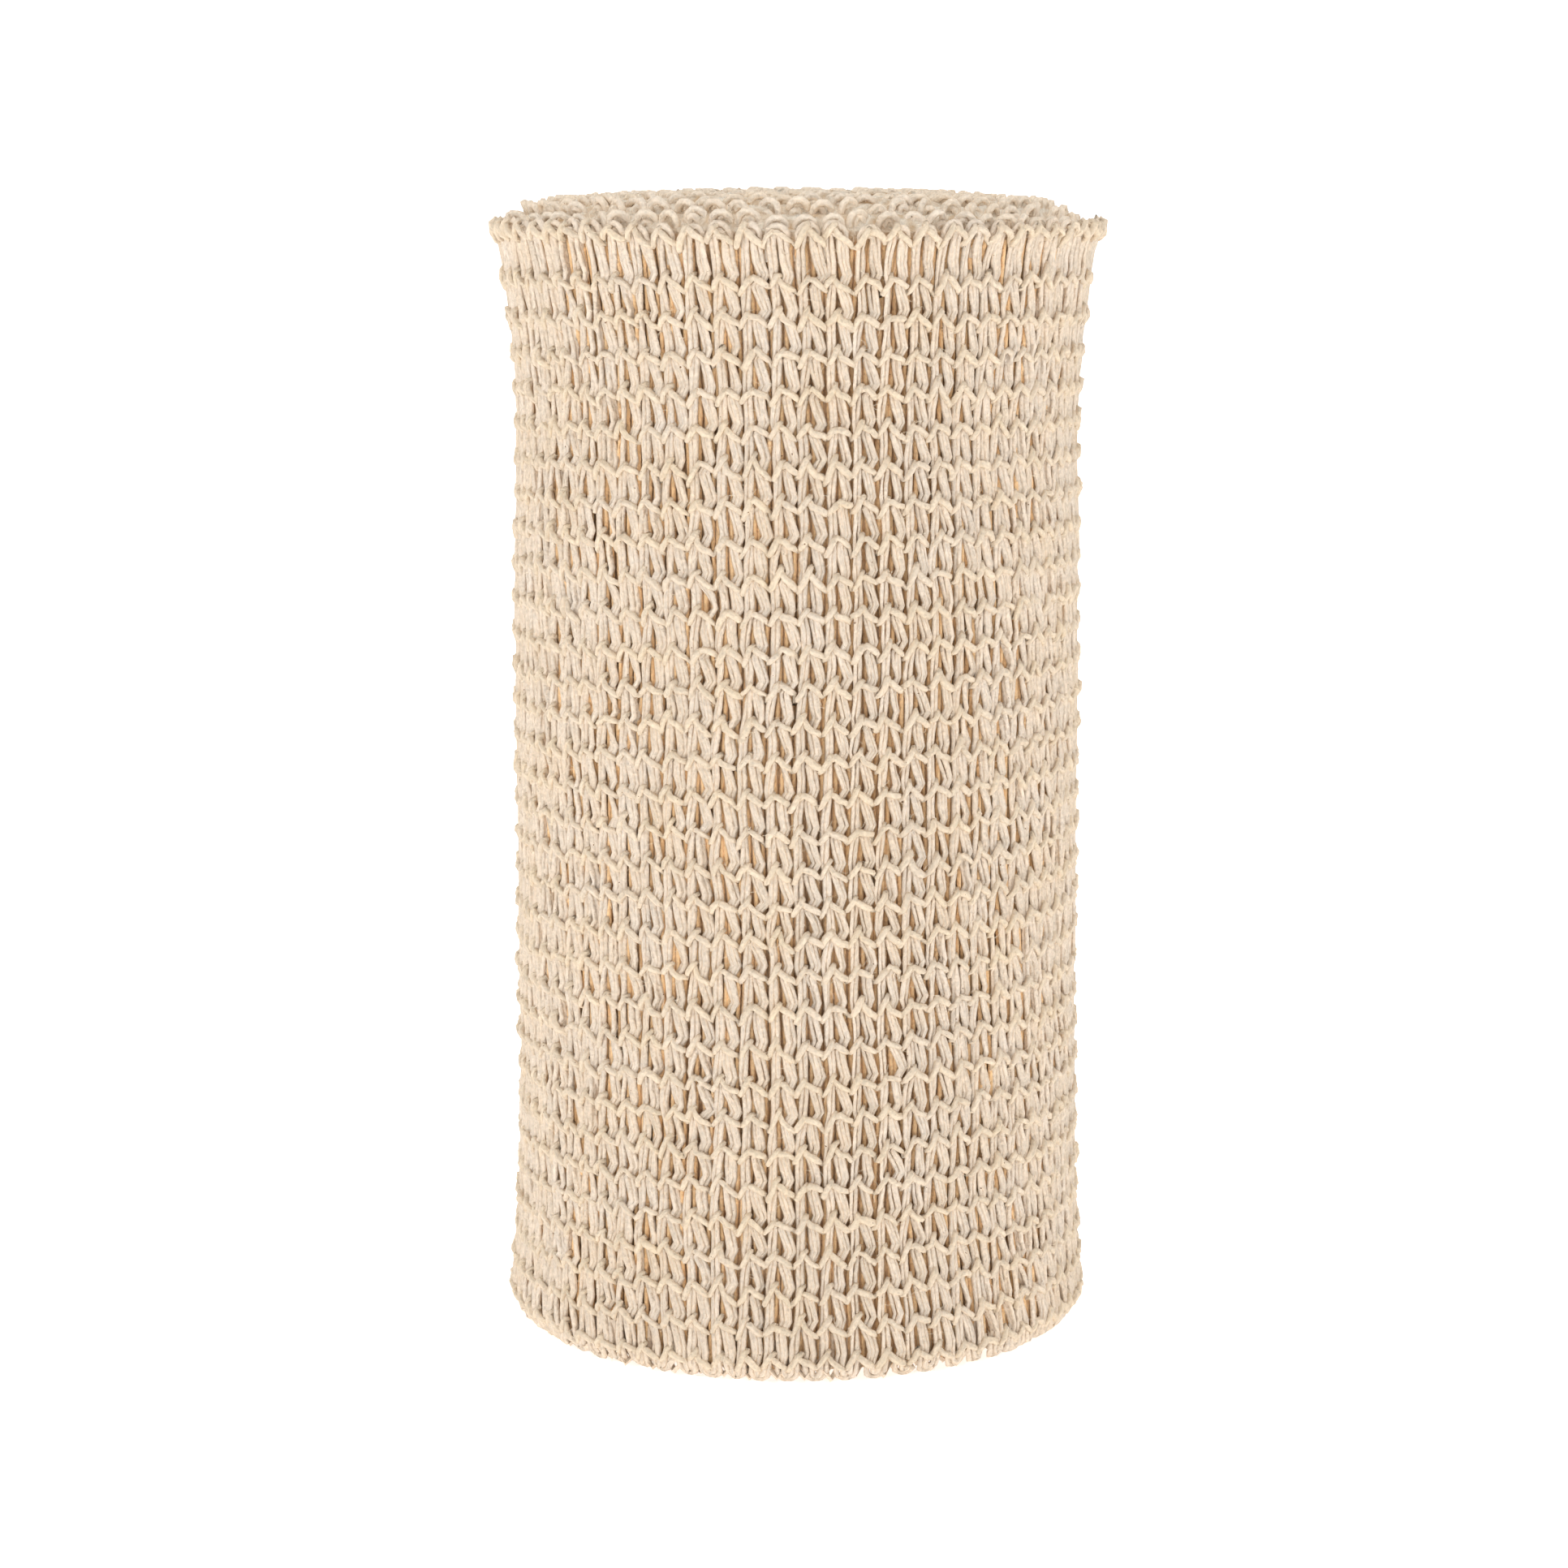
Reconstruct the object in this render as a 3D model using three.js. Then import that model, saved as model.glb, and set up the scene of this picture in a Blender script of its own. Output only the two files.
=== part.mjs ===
// A roll of knitted cohesive bandage, standing on one end, at its real size in millimetres, +Z up.
// The cloth is one long strip wound on itself with no core. Its outer turn is drawn in at the waist
// and flares at both ends, the stitch rows ridge the wall, the upper end is a low dome on which each
// turn stands a little above the one outside it, and the cut end lies flat against the back.
// The origin is the middle of the base, and the front faces -Y.

import * as THREE from "three";

// Driving dimensions
const TURN_PITCH = 1.45; // thickness of one turn of cloth, wound
const TURNS = 17; // from the eye of the roll to its outer face
const STITCH_ROWS = 32; // rows of stitches across the cloth's width
const LOWEST_ROW = 2.1; // height of the lowest stitch row
const ROW_PITCH = 3.1; // from one stitch row to the next
const ROW_RISE = 0.34; // how far a stitch row stands out of the wall
const CORNER_HEIGHT = 0.9; // of the rounded corner between the wall and the base
const RIM_HEIGHT = 99.2; // where the outer turn's wall ends and its edge rounds over
const EDGE_INSET = 0.65; // from the outer face to the middle of the edge
const GROOVE_DEPTH = 0.8; // of the groove between two turns on the upper end
const EYE_DEPTH = 0.9; // of the dimple in the middle of the upper end
const CLOTH_END_DEG = 110; // where the cut end lies, turned about +Z from +X
const END_SLANT_DEG = 2; // the angle over which the cut end drops to the turn below it
const SEGMENTS = 45; // flat facets round one turn, the cut end's narrow one not counted

// The outer face's radius by height, at the front of the roll
const WALL = [
  { height: 0, radius: 25.6 },
  { height: 0.9, radius: 26.75 },
  { height: 2.1, radius: 27.15 },
  { height: 5, radius: 27.0 },
  { height: 10, radius: 26.6 },
  { height: 20, radius: 26.35 },
  { height: 45, radius: 26.2 },
  { height: 72, radius: 26.2 },
  { height: 85, radius: 25.95 },
  { height: 90, radius: 26.25 },
  { height: 95, radius: 26.8 },
  { height: 99.2, radius: 27.3 },
];

// The height of the turns' upper edges by their distance from the axis
const UPPER_END = [
  { radius: 0, height: 103.5 },
  { radius: 10, height: 103.5 },
  { radius: 19, height: 103.0 },
  { radius: 23.8, height: 102.1 },
  { radius: 25.2, height: 101.1 },
  { radius: 26.65, height: 100 },
  { radius: 27.5, height: 99.6 },
];

const COLUMNS = SEGMENTS + 1; // points round one turn
const LAST = (TURNS - 1) * COLUMNS + SEGMENTS; // the spiral's last point, at the cut end

// A smooth curve through two columns of a table, read as from -> to.
function smoothTable(rows, from, to) {
  const curve = new THREE.CubicInterpolant(
    rows.map((row) => row[from]),
    rows.map((row) => row[to]),
    1,
  );
  return (value) => curve.evaluate(value)[0];
}

const wallRadius = smoothTable(WALL, "height", "radius");
const edgeHeight = smoothTable(UPPER_END, "radius", "height");

// The angle, in radians, of a column counted from just past the cut end.
function columnAngle(column) {
  const turned = END_SLANT_DEG + ((360 - END_SLANT_DEG) * column) / SEGMENTS;
  return THREE.MathUtils.degToRad(CLOTH_END_DEG + turned);
}

// How far the winding has grown at a point of the spiral, from 0 at the eye to TURNS.
function turnsWound(index) {
  const turn = Math.floor(index / COLUMNS);
  const angle = columnAngle(index % COLUMNS) - columnAngle(0);
  return turn + angle / (2 * Math.PI);
}

// How much further out the outer turn lies at a column than half a turn before the cut end.
function outerGrowth(column) {
  const wound = turnsWound((TURNS - 1) * COLUMNS + column);
  return TURN_PITCH * (wound - (TURNS - 0.5));
}

// Collects the points and faces of one closed surface.
class Surface {
  constructor() {
    this.points = [];
    this.faces = [];
  }

  point(radius, angle, height) {
    this.points.push(radius * Math.cos(angle), radius * Math.sin(angle), height);
    return this.points.length / 3 - 1;
  }

  triangle(a, b, c) {
    this.faces.push(a, b, c);
  }

  // A band of faces from one line of points to the next, which lies outside or below it.
  band(inner, outer) {
    for (let i = 0; i + 1 < inner.length; i++) {
      this.triangle(inner[i], outer[i], outer[i + 1]);
      this.triangle(inner[i], outer[i + 1], inner[i + 1]);
    }
  }

  geometry() {
    const made = new THREE.BufferGeometry();
    made.setAttribute("position", new THREE.Float32BufferAttribute(this.points, 3));
    made.setIndex(this.faces);
    return made;
  }
}

// The radius of the cloth's edge at a point of the spiral.
function edgeRadius(index) {
  const inwards = TURN_PITCH * (TURNS - 0.5 - turnsWound(index));
  return wallRadius(RIM_HEIGHT) - EDGE_INSET - inwards;
}

// The line along the middle of the cloth's upper edge, from the eye to the cut end.
function edgeLine(surface) {
  return Array.from({ length: LAST + 1 }, (_, index) => {
    const radius = edgeRadius(index);
    return surface.point(radius, columnAngle(index % COLUMNS), edgeHeight(radius));
  });
}

// The groove between each turn and the one outside it, which deepens over the first turn.
function grooveLine(surface) {
  return Array.from({ length: LAST - COLUMNS + 1 }, (_, index) => {
    const radius = edgeRadius(index) + TURN_PITCH / 2;
    const depth = GROOVE_DEPTH * Math.min(1, turnsWound(index));
    return surface.point(radius, columnAngle(index % COLUMNS), edgeHeight(radius) - depth);
  });
}

// The rings of the outer wall, from the rim down to the base: a ridge at each stitch row and a
// hollow half way to the next one.
function wallRings(surface) {
  const levels = [{ height: RIM_HEIGHT, rise: 0 }];
  for (let row = STITCH_ROWS - 1; row >= 0; row--) {
    const height = LOWEST_ROW + row * ROW_PITCH;
    levels.push({ height, rise: 0 });
    if (row > 0) levels.push({ height: height - ROW_PITCH / 2, rise: -ROW_RISE });
  }
  levels.push({ height: CORNER_HEIGHT, rise: 0 }, { height: 0, rise: 0 });
  return levels.map(({ height, rise }) =>
    Array.from({ length: COLUMNS }, (_, column) => {
      const radius = wallRadius(height) + rise + outerGrowth(column);
      return surface.point(radius, columnAngle(column), height);
    }),
  );
}

// The upper end: the spiral edge and its groove, and the dimple at the eye.
function addUpperEnd(surface, edge, groove) {
  const eye = surface.point(0, 0, edgeHeight(0) - EYE_DEPTH);
  for (let i = 0; i < COLUMNS; i++) surface.triangle(eye, edge[i], edge[i + 1]);
  surface.triangle(eye, edge[COLUMNS], groove[0]);
  surface.triangle(eye, groove[0], edge[0]);
  surface.band(edge.slice(0, groove.length), groove);
  surface.band(groove, edge.slice(COLUMNS));
}

// The outer wall, the drop at the cut end, and the flat base.
function addWall(surface, edge, groove, rings) {
  surface.band(edge.slice(LAST - SEGMENTS), rings[0]);
  for (let i = 0; i + 1 < rings.length; i++) {
    surface.band(rings[i], rings[i + 1]);
    surface.band([rings[i].at(-1), rings[i][0]], [rings[i + 1].at(-1), rings[i + 1][0]]);
  }
  const corner = [edge[LAST], rings[0].at(-1), rings[0][0], edge[LAST - SEGMENTS]];
  corner.push(edge[LAST - COLUMNS]);
  for (let i = 0; i + 1 < corner.length; i++) {
    surface.triangle(groove.at(-1), corner[i], corner[i + 1]);
  }
  const middle = surface.point(0, 0, 0);
  const base = rings.at(-1);
  for (let i = 0; i < COLUMNS; i++) {
    surface.triangle(base[i], middle, base[(i + 1) % COLUMNS]);
  }
}

// The wound roll as one closed solid, with the middle of its box on the axis.
function rollGeometry() {
  const surface = new Surface();
  const edge = edgeLine(surface);
  const groove = grooveLine(surface);
  addUpperEnd(surface, edge, groove);
  addWall(surface, edge, groove, wallRings(surface));
  const made = surface.geometry();
  made.computeBoundingBox();
  const middle = made.boundingBox.getCenter(new THREE.Vector3());
  made.translate(-middle.x, -middle.y, 0);
  made.computeVertexNormals();
  return made;
}

const cottonKnit = new THREE.MeshStandardMaterial({
  name: "cotton_knit",
  color: new THREE.Color().setRGB(0.86, 0.78, 0.67, THREE.SRGBColorSpace),
  roughness: 0.95,
  metalness: 0,
});

const bandageRoll = new THREE.Mesh(rollGeometry(), cottonKnit);
bandageRoll.name = "bandage_roll";

const part = new THREE.Group();
part.add(bandageRoll);

export default part;
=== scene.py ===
"""Looks of a roll of knitted cohesive bandage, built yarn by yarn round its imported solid.

Sizes are in millimetres and go to metres where meshes are made. Heights are above the base. A stitch
column is a whole number, 0 at the front, which faces -Y, and columns are counted towards +X. Outward
distances are from the middle of the weft, the pairs of yarn that run up and down the outer turn.
"""

import logging
import math
from dataclasses import dataclass, field
from enum import Enum
from typing import NamedTuple

import bpy
import numpy as np
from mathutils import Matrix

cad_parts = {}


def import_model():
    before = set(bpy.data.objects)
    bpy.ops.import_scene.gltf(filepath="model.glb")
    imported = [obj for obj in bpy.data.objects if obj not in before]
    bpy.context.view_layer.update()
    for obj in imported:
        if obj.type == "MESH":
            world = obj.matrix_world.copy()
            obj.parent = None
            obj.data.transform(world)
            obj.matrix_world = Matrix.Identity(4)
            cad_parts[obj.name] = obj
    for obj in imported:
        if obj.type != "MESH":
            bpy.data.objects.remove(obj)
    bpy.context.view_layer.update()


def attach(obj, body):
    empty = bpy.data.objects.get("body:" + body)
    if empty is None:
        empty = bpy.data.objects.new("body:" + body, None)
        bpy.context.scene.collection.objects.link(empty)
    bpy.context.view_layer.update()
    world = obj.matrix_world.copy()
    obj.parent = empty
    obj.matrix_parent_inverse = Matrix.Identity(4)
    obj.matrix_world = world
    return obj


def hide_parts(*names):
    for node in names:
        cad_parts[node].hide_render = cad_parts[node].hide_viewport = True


LOG = logging.getLogger("bandage_roll")
MM = 0.001
BODY = "root"
NODE = "bandage_roll"
BAKE_MAP = "OFBake"
YARN_MAP = "Yarn"
TONE = "tone"
WHITE = (1.0, 1.0, 1.0, 1.0)


class Knot(NamedTuple):
    """One point of a listed smooth curve."""

    at: float
    value: float


class Span(NamedTuple):
    """Where something begins and where it is fully there, or the least and the most of a size."""

    low: float
    high: float


class Stitch(NamedTuple):
    """One point of a chain stitch, against its row and column, and the yarn's radius there."""

    along: float
    up: float
    outward: float
    radius: float


# The outer face's radius by height, as in the solid
WALL = (
    Knot(at=0.0, value=25.6),
    Knot(at=0.9, value=26.75),
    Knot(at=2.1, value=27.15),
    Knot(at=5.0, value=27.0),
    Knot(at=10.0, value=26.6),
    Knot(at=20.0, value=26.35),
    Knot(at=45.0, value=26.2),
    Knot(at=72.0, value=26.2),
    Knot(at=85.0, value=25.95),
    Knot(at=90.0, value=26.25),
    Knot(at=95.0, value=26.8),
    Knot(at=99.2, value=27.3),
    Knot(at=101.0, value=27.4),
)

# The height of the turns' upper edges by their distance from the axis, a little fuller than the solid
UPPER_END = (
    Knot(at=0.0, value=103.5),
    Knot(at=10.0, value=103.5),
    Knot(at=19.0, value=103.05),
    Knot(at=23.8, value=102.3),
    Knot(at=25.2, value=101.5),
    Knot(at=26.65, value=100.2),
    Knot(at=27.5, value=99.6),
)

# A chain stitch: a steep bar that rises to the right, a hook behind, and a flatter bar that falls
CHAIN_STITCH = (
    Stitch(along=0.02, up=-0.84, outward=-0.20, radius=0.24),
    Stitch(along=0.13, up=-0.64, outward=0.16, radius=0.27),
    Stitch(along=0.42, up=-0.08, outward=0.37, radius=0.295),
    Stitch(along=0.80, up=0.56, outward=0.34, radius=0.30),
    Stitch(along=0.98, up=0.80, outward=0.04, radius=0.27),
    Stitch(along=0.84, up=0.58, outward=-0.24, radius=0.24),
    Stitch(along=0.84, up=0.40, outward=0.20, radius=0.28),
    Stitch(along=1.22, up=0.18, outward=0.38, radius=0.31),
    Stitch(along=1.72, up=-0.14, outward=0.39, radius=0.315),
    Stitch(along=2.12, up=-0.40, outward=0.26, radius=0.28),
    Stitch(along=2.34, up=-0.66, outward=-0.16, radius=0.23),
)


def smooth_curve(knots: tuple[Knot, ...], at: np.ndarray) -> np.ndarray:
    """Reads a smooth curve through knots.

    Args:
        knots: The curve's points, in order.
        at: Where to read it.

    Returns:
        The curve's values, held level past both ends.
    """
    xs = np.array([k.at for k in knots])
    ys = np.array([k.value for k in knots])
    slopes = np.gradient(ys, xs)
    at = np.clip(at, xs[0], xs[-1])
    i = np.clip(np.searchsorted(xs, at) - 1, 0, len(xs) - 2)
    step = xs[i + 1] - xs[i]
    t = (at - xs[i]) / step
    start = (1 + 2 * t) * (1 - t) ** 2 * ys[i] + t * (1 - t) ** 2 * step * slopes[i]
    end = t * t * (3 - 2 * t) * ys[i + 1] - t * t * (1 - t) * step * slopes[i + 1]
    return start + end


def smooth_step(value: np.ndarray, low: float, high: float) -> np.ndarray:
    """Rises smoothly from 0 at low to 1 at high."""
    t = np.clip((value - low) / (high - low), 0, 1)
    return t * t * (3 - 2 * t)


@dataclass(frozen=True)
class Wander:
    """A smooth random value over columns and heights.

    Attributes:
        seed: Which random values.
        columns: Columns from one random value to the next.
        height: Millimetres from one random value to the next.
        size: The values' standard deviation.
        grid: How many random values there are each way before they repeat.
    """

    seed: int
    columns: float
    height: float
    size: float
    grid: int = 160

    def at(self, column: np.ndarray, height: np.ndarray) -> np.ndarray:
        """Reads the value at columns and heights."""
        values = np.random.default_rng(self.seed).normal(0, self.size, (self.grid, self.grid))
        x = np.asarray(column) / self.columns + self.grid / 2
        y = np.asarray(height) / self.height + 1
        i, j = np.floor(x).astype(int), np.floor(y).astype(int)
        fx, fy = smooth_step(x - i, 0, 1), smooth_step(y - j, 0, 1)
        i0, i1, j0, j1 = i % self.grid, (i + 1) % self.grid, j % self.grid, (j + 1) % self.grid
        low = values[i0, j0] * (1 - fx) + values[i1, j0] * fx
        high = values[i0, j1] * (1 - fx) + values[i1, j1] * fx
        return low * (1 - fy) + high * fy


@dataclass(frozen=True)
class Winding:
    """The shape of the wound cloth, which places yarns on its turns.

    Attributes:
        turn_pitch: Thickness of one turn.
        turns: Turns from the eye to the outer face.
        columns: Stitch columns round the outer turn.
        column_pitch: Width of a stitch column at the waist.
        rows: Stitch rows across the cloth.
        lowest_row: Height of the lowest row.
        row_pitch: From one row to the next.
        row_slant: How much higher a row is at +X than in the middle, half way up the roll.
        side_rise: How much higher the upper edge is at both sides than in front.
        rising: The heights over which that comes in.
        edge_lean: How far the upper edge leans out.
        leaning: The heights over which that comes in.
        top_row_rise: How much closer to the edge the top row lies than the other rows' pitch gives.
        top_row_out: How far the top row stands out of the others' depth.
        rim: Height where the outer turn's wall ends.
        edge_inset: From the outer face to the middle of the outer turn's edge.
        end_deg: Where the cut end lies.
        weft_depth: From the outermost yarn to the middle of the weft.
        open_column: The column where the knit lies most open.
        open_columns: How many columns to each side that reaches.
        column_drift: How far whole stretches of columns lie aside, in columns.
        column_jitter: How far single stitches do, in columns.
        row_drift: How far whole stretches of a row lie up or down.
        row_jitter: How far single stitches do.
        bulge: How far stretches of the cloth swell out.
        loose_foot: The heights over which drift and bulge come in above the base.
        loose_head: The heights over which they end under the upper edge.
        sliding: The heights over which a row's drift and jitter come in.
    """

    turn_pitch: float = 1.45
    turns: int = 17
    columns: int = 68
    column_pitch: float = 2.43
    rows: int = 32
    lowest_row: float = 2.1
    row_pitch: float = 3.1
    row_slant: float = 0.4
    side_rise: float = 0.8
    rising: Span = Span(90.0, 99.5)
    edge_lean: float = 0.36
    leaning: Span = Span(96.5, 99.5)
    top_row_rise: float = 0.75
    top_row_out: float = 0.34
    rim: float = 99.2
    edge_inset: float = 0.65
    end_deg: float = 110.0
    weft_depth: float = 0.64
    open_column: float = 2.6
    open_columns: float = 4.6
    column_drift: Wander = Wander(seed=11, columns=5, height=13, size=0.10)
    column_jitter: Wander = Wander(seed=12, columns=1, height=3.1, size=0.035)
    row_drift: Wander = Wander(seed=13, columns=6, height=9, size=0.16)
    row_jitter: Wander = Wander(seed=14, columns=1, height=3.1, size=0.09)
    bulge: Wander = Wander(seed=15, columns=7, height=11, size=0.10)
    loose_foot: Span = Span(0.5, 6.0)
    loose_head: Span = Span(94.0, 99.5)
    sliding: Span = Span(0.0, 2.5)

    @property
    def middle_deg(self) -> float:
        """The angle half a turn before the cut end, where the outer turn has the wall's own radius."""
        return self.end_deg - 180

    @property
    def end_column(self) -> float:
        """The column at the cut end."""
        return (self.end_deg + 90) / 360 * self.columns

    def row_heights(self) -> np.ndarray:
        """The heights of the stitch rows, from the lowest up, the top one close under the edge."""
        heights = self.lowest_row + self.row_pitch * np.arange(self.rows)
        heights[-1] += self.top_row_rise
        return heights

    def place(self, column: np.ndarray, height: np.ndarray, outward: np.ndarray) -> np.ndarray:
        """Places points of the outer turn, with the cloth's unevenness.

        Args:
            column: Stitch column, with a fraction.
            height: Height on the even cloth.
            outward: Distance out from the middle of the weft.

        Returns:
            The points, along a last axis of three.
        """
        column, height, outward = np.broadcast_arrays(column, height, outward)
        inside = smooth_step(height, *self.loose_foot) * (1 - smooth_step(height, *self.loose_head))
        drift = self.row_drift.at(column, height) * inside + self.row_jitter.at(column, height)
        moved = column + self.column_drift.at(column, height) + self.column_jitter.at(column, height)
        angle = np.radians(moved / self.columns * 360 - 90)
        slant = self.row_slant * np.sin(math.pi * np.clip(height / self.rim, 0, 1)) * np.cos(angle)
        z = height + slant + drift * smooth_step(height, *self.sliding)
        z = z + self.side_rise * np.cos(angle) ** 2 * smooth_step(height, *self.rising)
        swell = self.bulge.at(column, height) * inside
        swell = swell + self.edge_lean * smooth_step(height, *self.leaning)
        radius = smooth_curve(WALL, z) + self.growth(angle) - self.weft_depth + swell + outward
        return np.stack([radius * np.cos(angle), radius * np.sin(angle), z], -1)

    def openness(self, column: np.ndarray) -> np.ndarray:
        """How open the knit lies, from 0 on most of the roll to 1 a little to the right of the front."""
        return np.exp(-(((column - self.open_column) / self.open_columns) ** 2))

    def growth(self, angle: np.ndarray) -> np.ndarray:
        """How much further out the outer turn lies at an angle than half a turn before its end."""
        return self.turn_pitch * (np.degrees(angle) - self.middle_deg) / 360

    def edge_radius(self, turn: np.ndarray) -> np.ndarray:
        """The distance from the axis of the cloth's edge, by turns from the eye."""
        outer = smooth_curve(WALL, np.array(self.rim)) - self.edge_inset
        return outer - self.turn_pitch * (self.turns - 0.5 - turn)

    def edge_angle(self, turn: np.ndarray) -> np.ndarray:
        """The angle of the cloth's edge in radians, by turns from the eye."""
        return np.radians(self.end_deg) + 2 * math.pi * turn


def unit(vectors: np.ndarray) -> np.ndarray:
    """Scales vectors to length one."""
    return vectors / np.maximum(np.linalg.norm(vectors, axis=-1, keepdims=True), 1e-9)


def carried_frames(courses: np.ndarray) -> tuple[np.ndarray, np.ndarray]:
    """Finds two cross directions along each course that don't twist about it.

    Args:
        courses: Points by yarn and place along it.

    Returns:
        Both directions at each point.
    """
    tangent = unit(np.gradient(courses, axis=1))
    across = np.empty_like(courses)
    away = courses[:, 0] * (1, 1, 0)
    across[:, 0] = unit(away - (away * tangent[:, 0]).sum(-1, keepdims=True) * tangent[:, 0])
    for k in range(1, courses.shape[1]):
        before, along = across[:, k - 1], tangent[:, k]
        across[:, k] = unit(before - (before * along).sum(-1, keepdims=True) * along)
    return across, np.cross(tangent, across)


@dataclass(frozen=True)
class BakeStrip:
    """How a strip of the bake map is shared out, in shares of its width and height.

    Attributes:
        start: Where a yarn's side begins.
        width: How wide it is.
        cap_across: The middle of an end's face, across the strip.
        cap_width: Half the width of such a face.
        first_cap: The middle of the first end's face, up the strip.
        last_cap: The middle of the last end's face.
        cap_height: Half their height.
    """

    start: float = 0.06
    width: float = 0.88
    cap_across: float = 0.03
    cap_width: float = 0.02
    first_cap: float = 0.25
    last_cap: float = 0.75
    cap_height: float = 0.15


STRIP = BakeStrip()


@dataclass
class YarnMesh:
    """Collects round yarns of one piece and makes its mesh.

    Attributes:
        name: The piece's name.
        sides: Sides of a yarn's cross-section.
        parts: The arrays of each lot of yarns.
        points: How many points they have in all.
    """

    name: str
    sides: int
    parts: list[dict[str, np.ndarray]] = field(default_factory=list)
    points: int = 0

    def add(self, courses: np.ndarray, radius: np.ndarray, tone: np.ndarray, strip: int) -> None:
        """Adds yarns that have the same number of points.

        Args:
            courses: Points by yarn and place along it, in millimetres.
            radius: Radius at each point.
            tone: How light the yarn is at each point, about 0.
            strip: How many points of a yarn share one strip of the bake map.
        """
        yarns, length = courses.shape[:2]
        across, aside = carried_frames(courses)
        turned = 2 * math.pi * np.arange(self.sides) / self.sides
        ring = across[:, :, None] * np.cos(turned)[:, None] + aside[:, :, None] * np.sin(turned)[:, None]
        radius = np.broadcast_to(radius, (yarns, length))
        vertices = courses[:, :, None] + ring * radius[:, :, None, None]
        steps = np.linalg.norm(np.diff(courses, axis=1), axis=-1)
        run = np.concatenate([np.zeros((yarns, 1)), np.cumsum(steps, axis=1)], axis=1)
        self.parts.append(
            {
                "vertices": vertices.reshape(-1, 3),
                "tone": np.repeat(np.broadcast_to(tone, (yarns, length)).ravel(), self.sides),
                **self._faces(yarns, length, run, strip),
            }
        )
        self.points += yarns * length * self.sides

    def _faces(self, yarns: int, length: int, run: np.ndarray, strip: int) -> dict[str, np.ndarray]:
        """Makes the faces round the yarns and at their ends.

        Args:
            yarns: How many yarns.
            length: Points along each.
            run: Millimetres along each yarn, by point.
            strip: Points to a strip of the bake map.

        Returns:
            Corner vertices, corners per face, both maps and the number of strips.
        """
        y, k, q = np.meshgrid(
            np.arange(yarns), np.arange(length - 1), np.arange(self.sides), indexing="ij"
        )
        corner_k = np.stack([k, k, k + 1, k + 1], -1)
        corner_q = np.stack([q, q + 1, q + 1, q], -1)
        corner_y = np.stack([y] * 4, -1)
        first = self.points + (corner_y * length + corner_k) * self.sides
        quads = (first + corner_q % self.sides).reshape(-1)
        strips = math.ceil((length - 1) / strip)
        number = corner_y * strips + corner_k[..., :1] // strip
        fraction = (corner_k - corner_k[..., :1] // strip * strip) / strip
        side = number + STRIP.start + STRIP.width * corner_q / self.sides
        bake = np.stack([side, fraction], -1).reshape(-1, 2)
        along = np.take_along_axis(run[:, :, None], corner_k.reshape(yarns, -1, 1), 1)
        yarn = np.stack([corner_q.reshape(-1) / self.sides, along.reshape(-1)], -1)
        around = np.arange(self.sides)
        starts = self.points + np.arange(yarns)[:, None] * length * self.sides + around[::-1]
        ends = self.points + ((np.arange(yarns)[:, None] + 1) * length - 1) * self.sides + around
        caps = np.concatenate([starts, ends]).reshape(-1)
        turned = np.tile(2 * math.pi * around / self.sides, 2 * yarns)
        cap_strip = np.repeat(np.tile(np.arange(yarns) * strips, 2), self.sides)
        cap_up = np.repeat([STRIP.first_cap, STRIP.last_cap], yarns * self.sides)
        cap_across = cap_strip + STRIP.cap_across + STRIP.cap_width * np.cos(turned)
        cap_bake = np.stack([cap_across, cap_up + STRIP.cap_height * np.sin(turned)], -1)
        cap_yarn = np.zeros((len(caps), 2))
        return {
            "corners": np.concatenate([quads, caps]),
            "counts": np.concatenate([np.full(len(quads) // 4, 4), np.full(2 * yarns, self.sides)]),
            "bake": np.concatenate([bake, cap_bake]),
            "yarn": np.concatenate([yarn, cap_yarn]),
            "strips": np.array(yarns * strips),
        }

    def build(self, material: bpy.types.Material) -> bpy.types.Object:
        """Makes the piece, which rides on the roll's body.

        Args:
            material: The piece's finish.

        Returns:
            The piece.
        """
        total = sum(int(part["strips"]) for part in self.parts)
        begun = 0
        for part in self.parts:
            part["bake"] = part["bake"] + (begun, 0)
            begun += int(part["strips"])
        kept = [key for key in self.parts[0] if key != "strips"]
        joined = {key: np.concatenate([part[key] for part in self.parts]) for key in kept}
        maps = {BAKE_MAP: joined["bake"] / (total, 1), YARN_MAP: joined["yarn"]}
        made = make_piece(
            self.name, joined["vertices"], joined["corners"], joined["counts"], maps, smooth=self.sides > 3
        )
        tone = made.data.attributes.new(TONE, "FLOAT", "POINT")
        tone.data.foreach_set("value", joined["tone"].astype(np.float32))
        dress(made, material)
        return made


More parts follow.
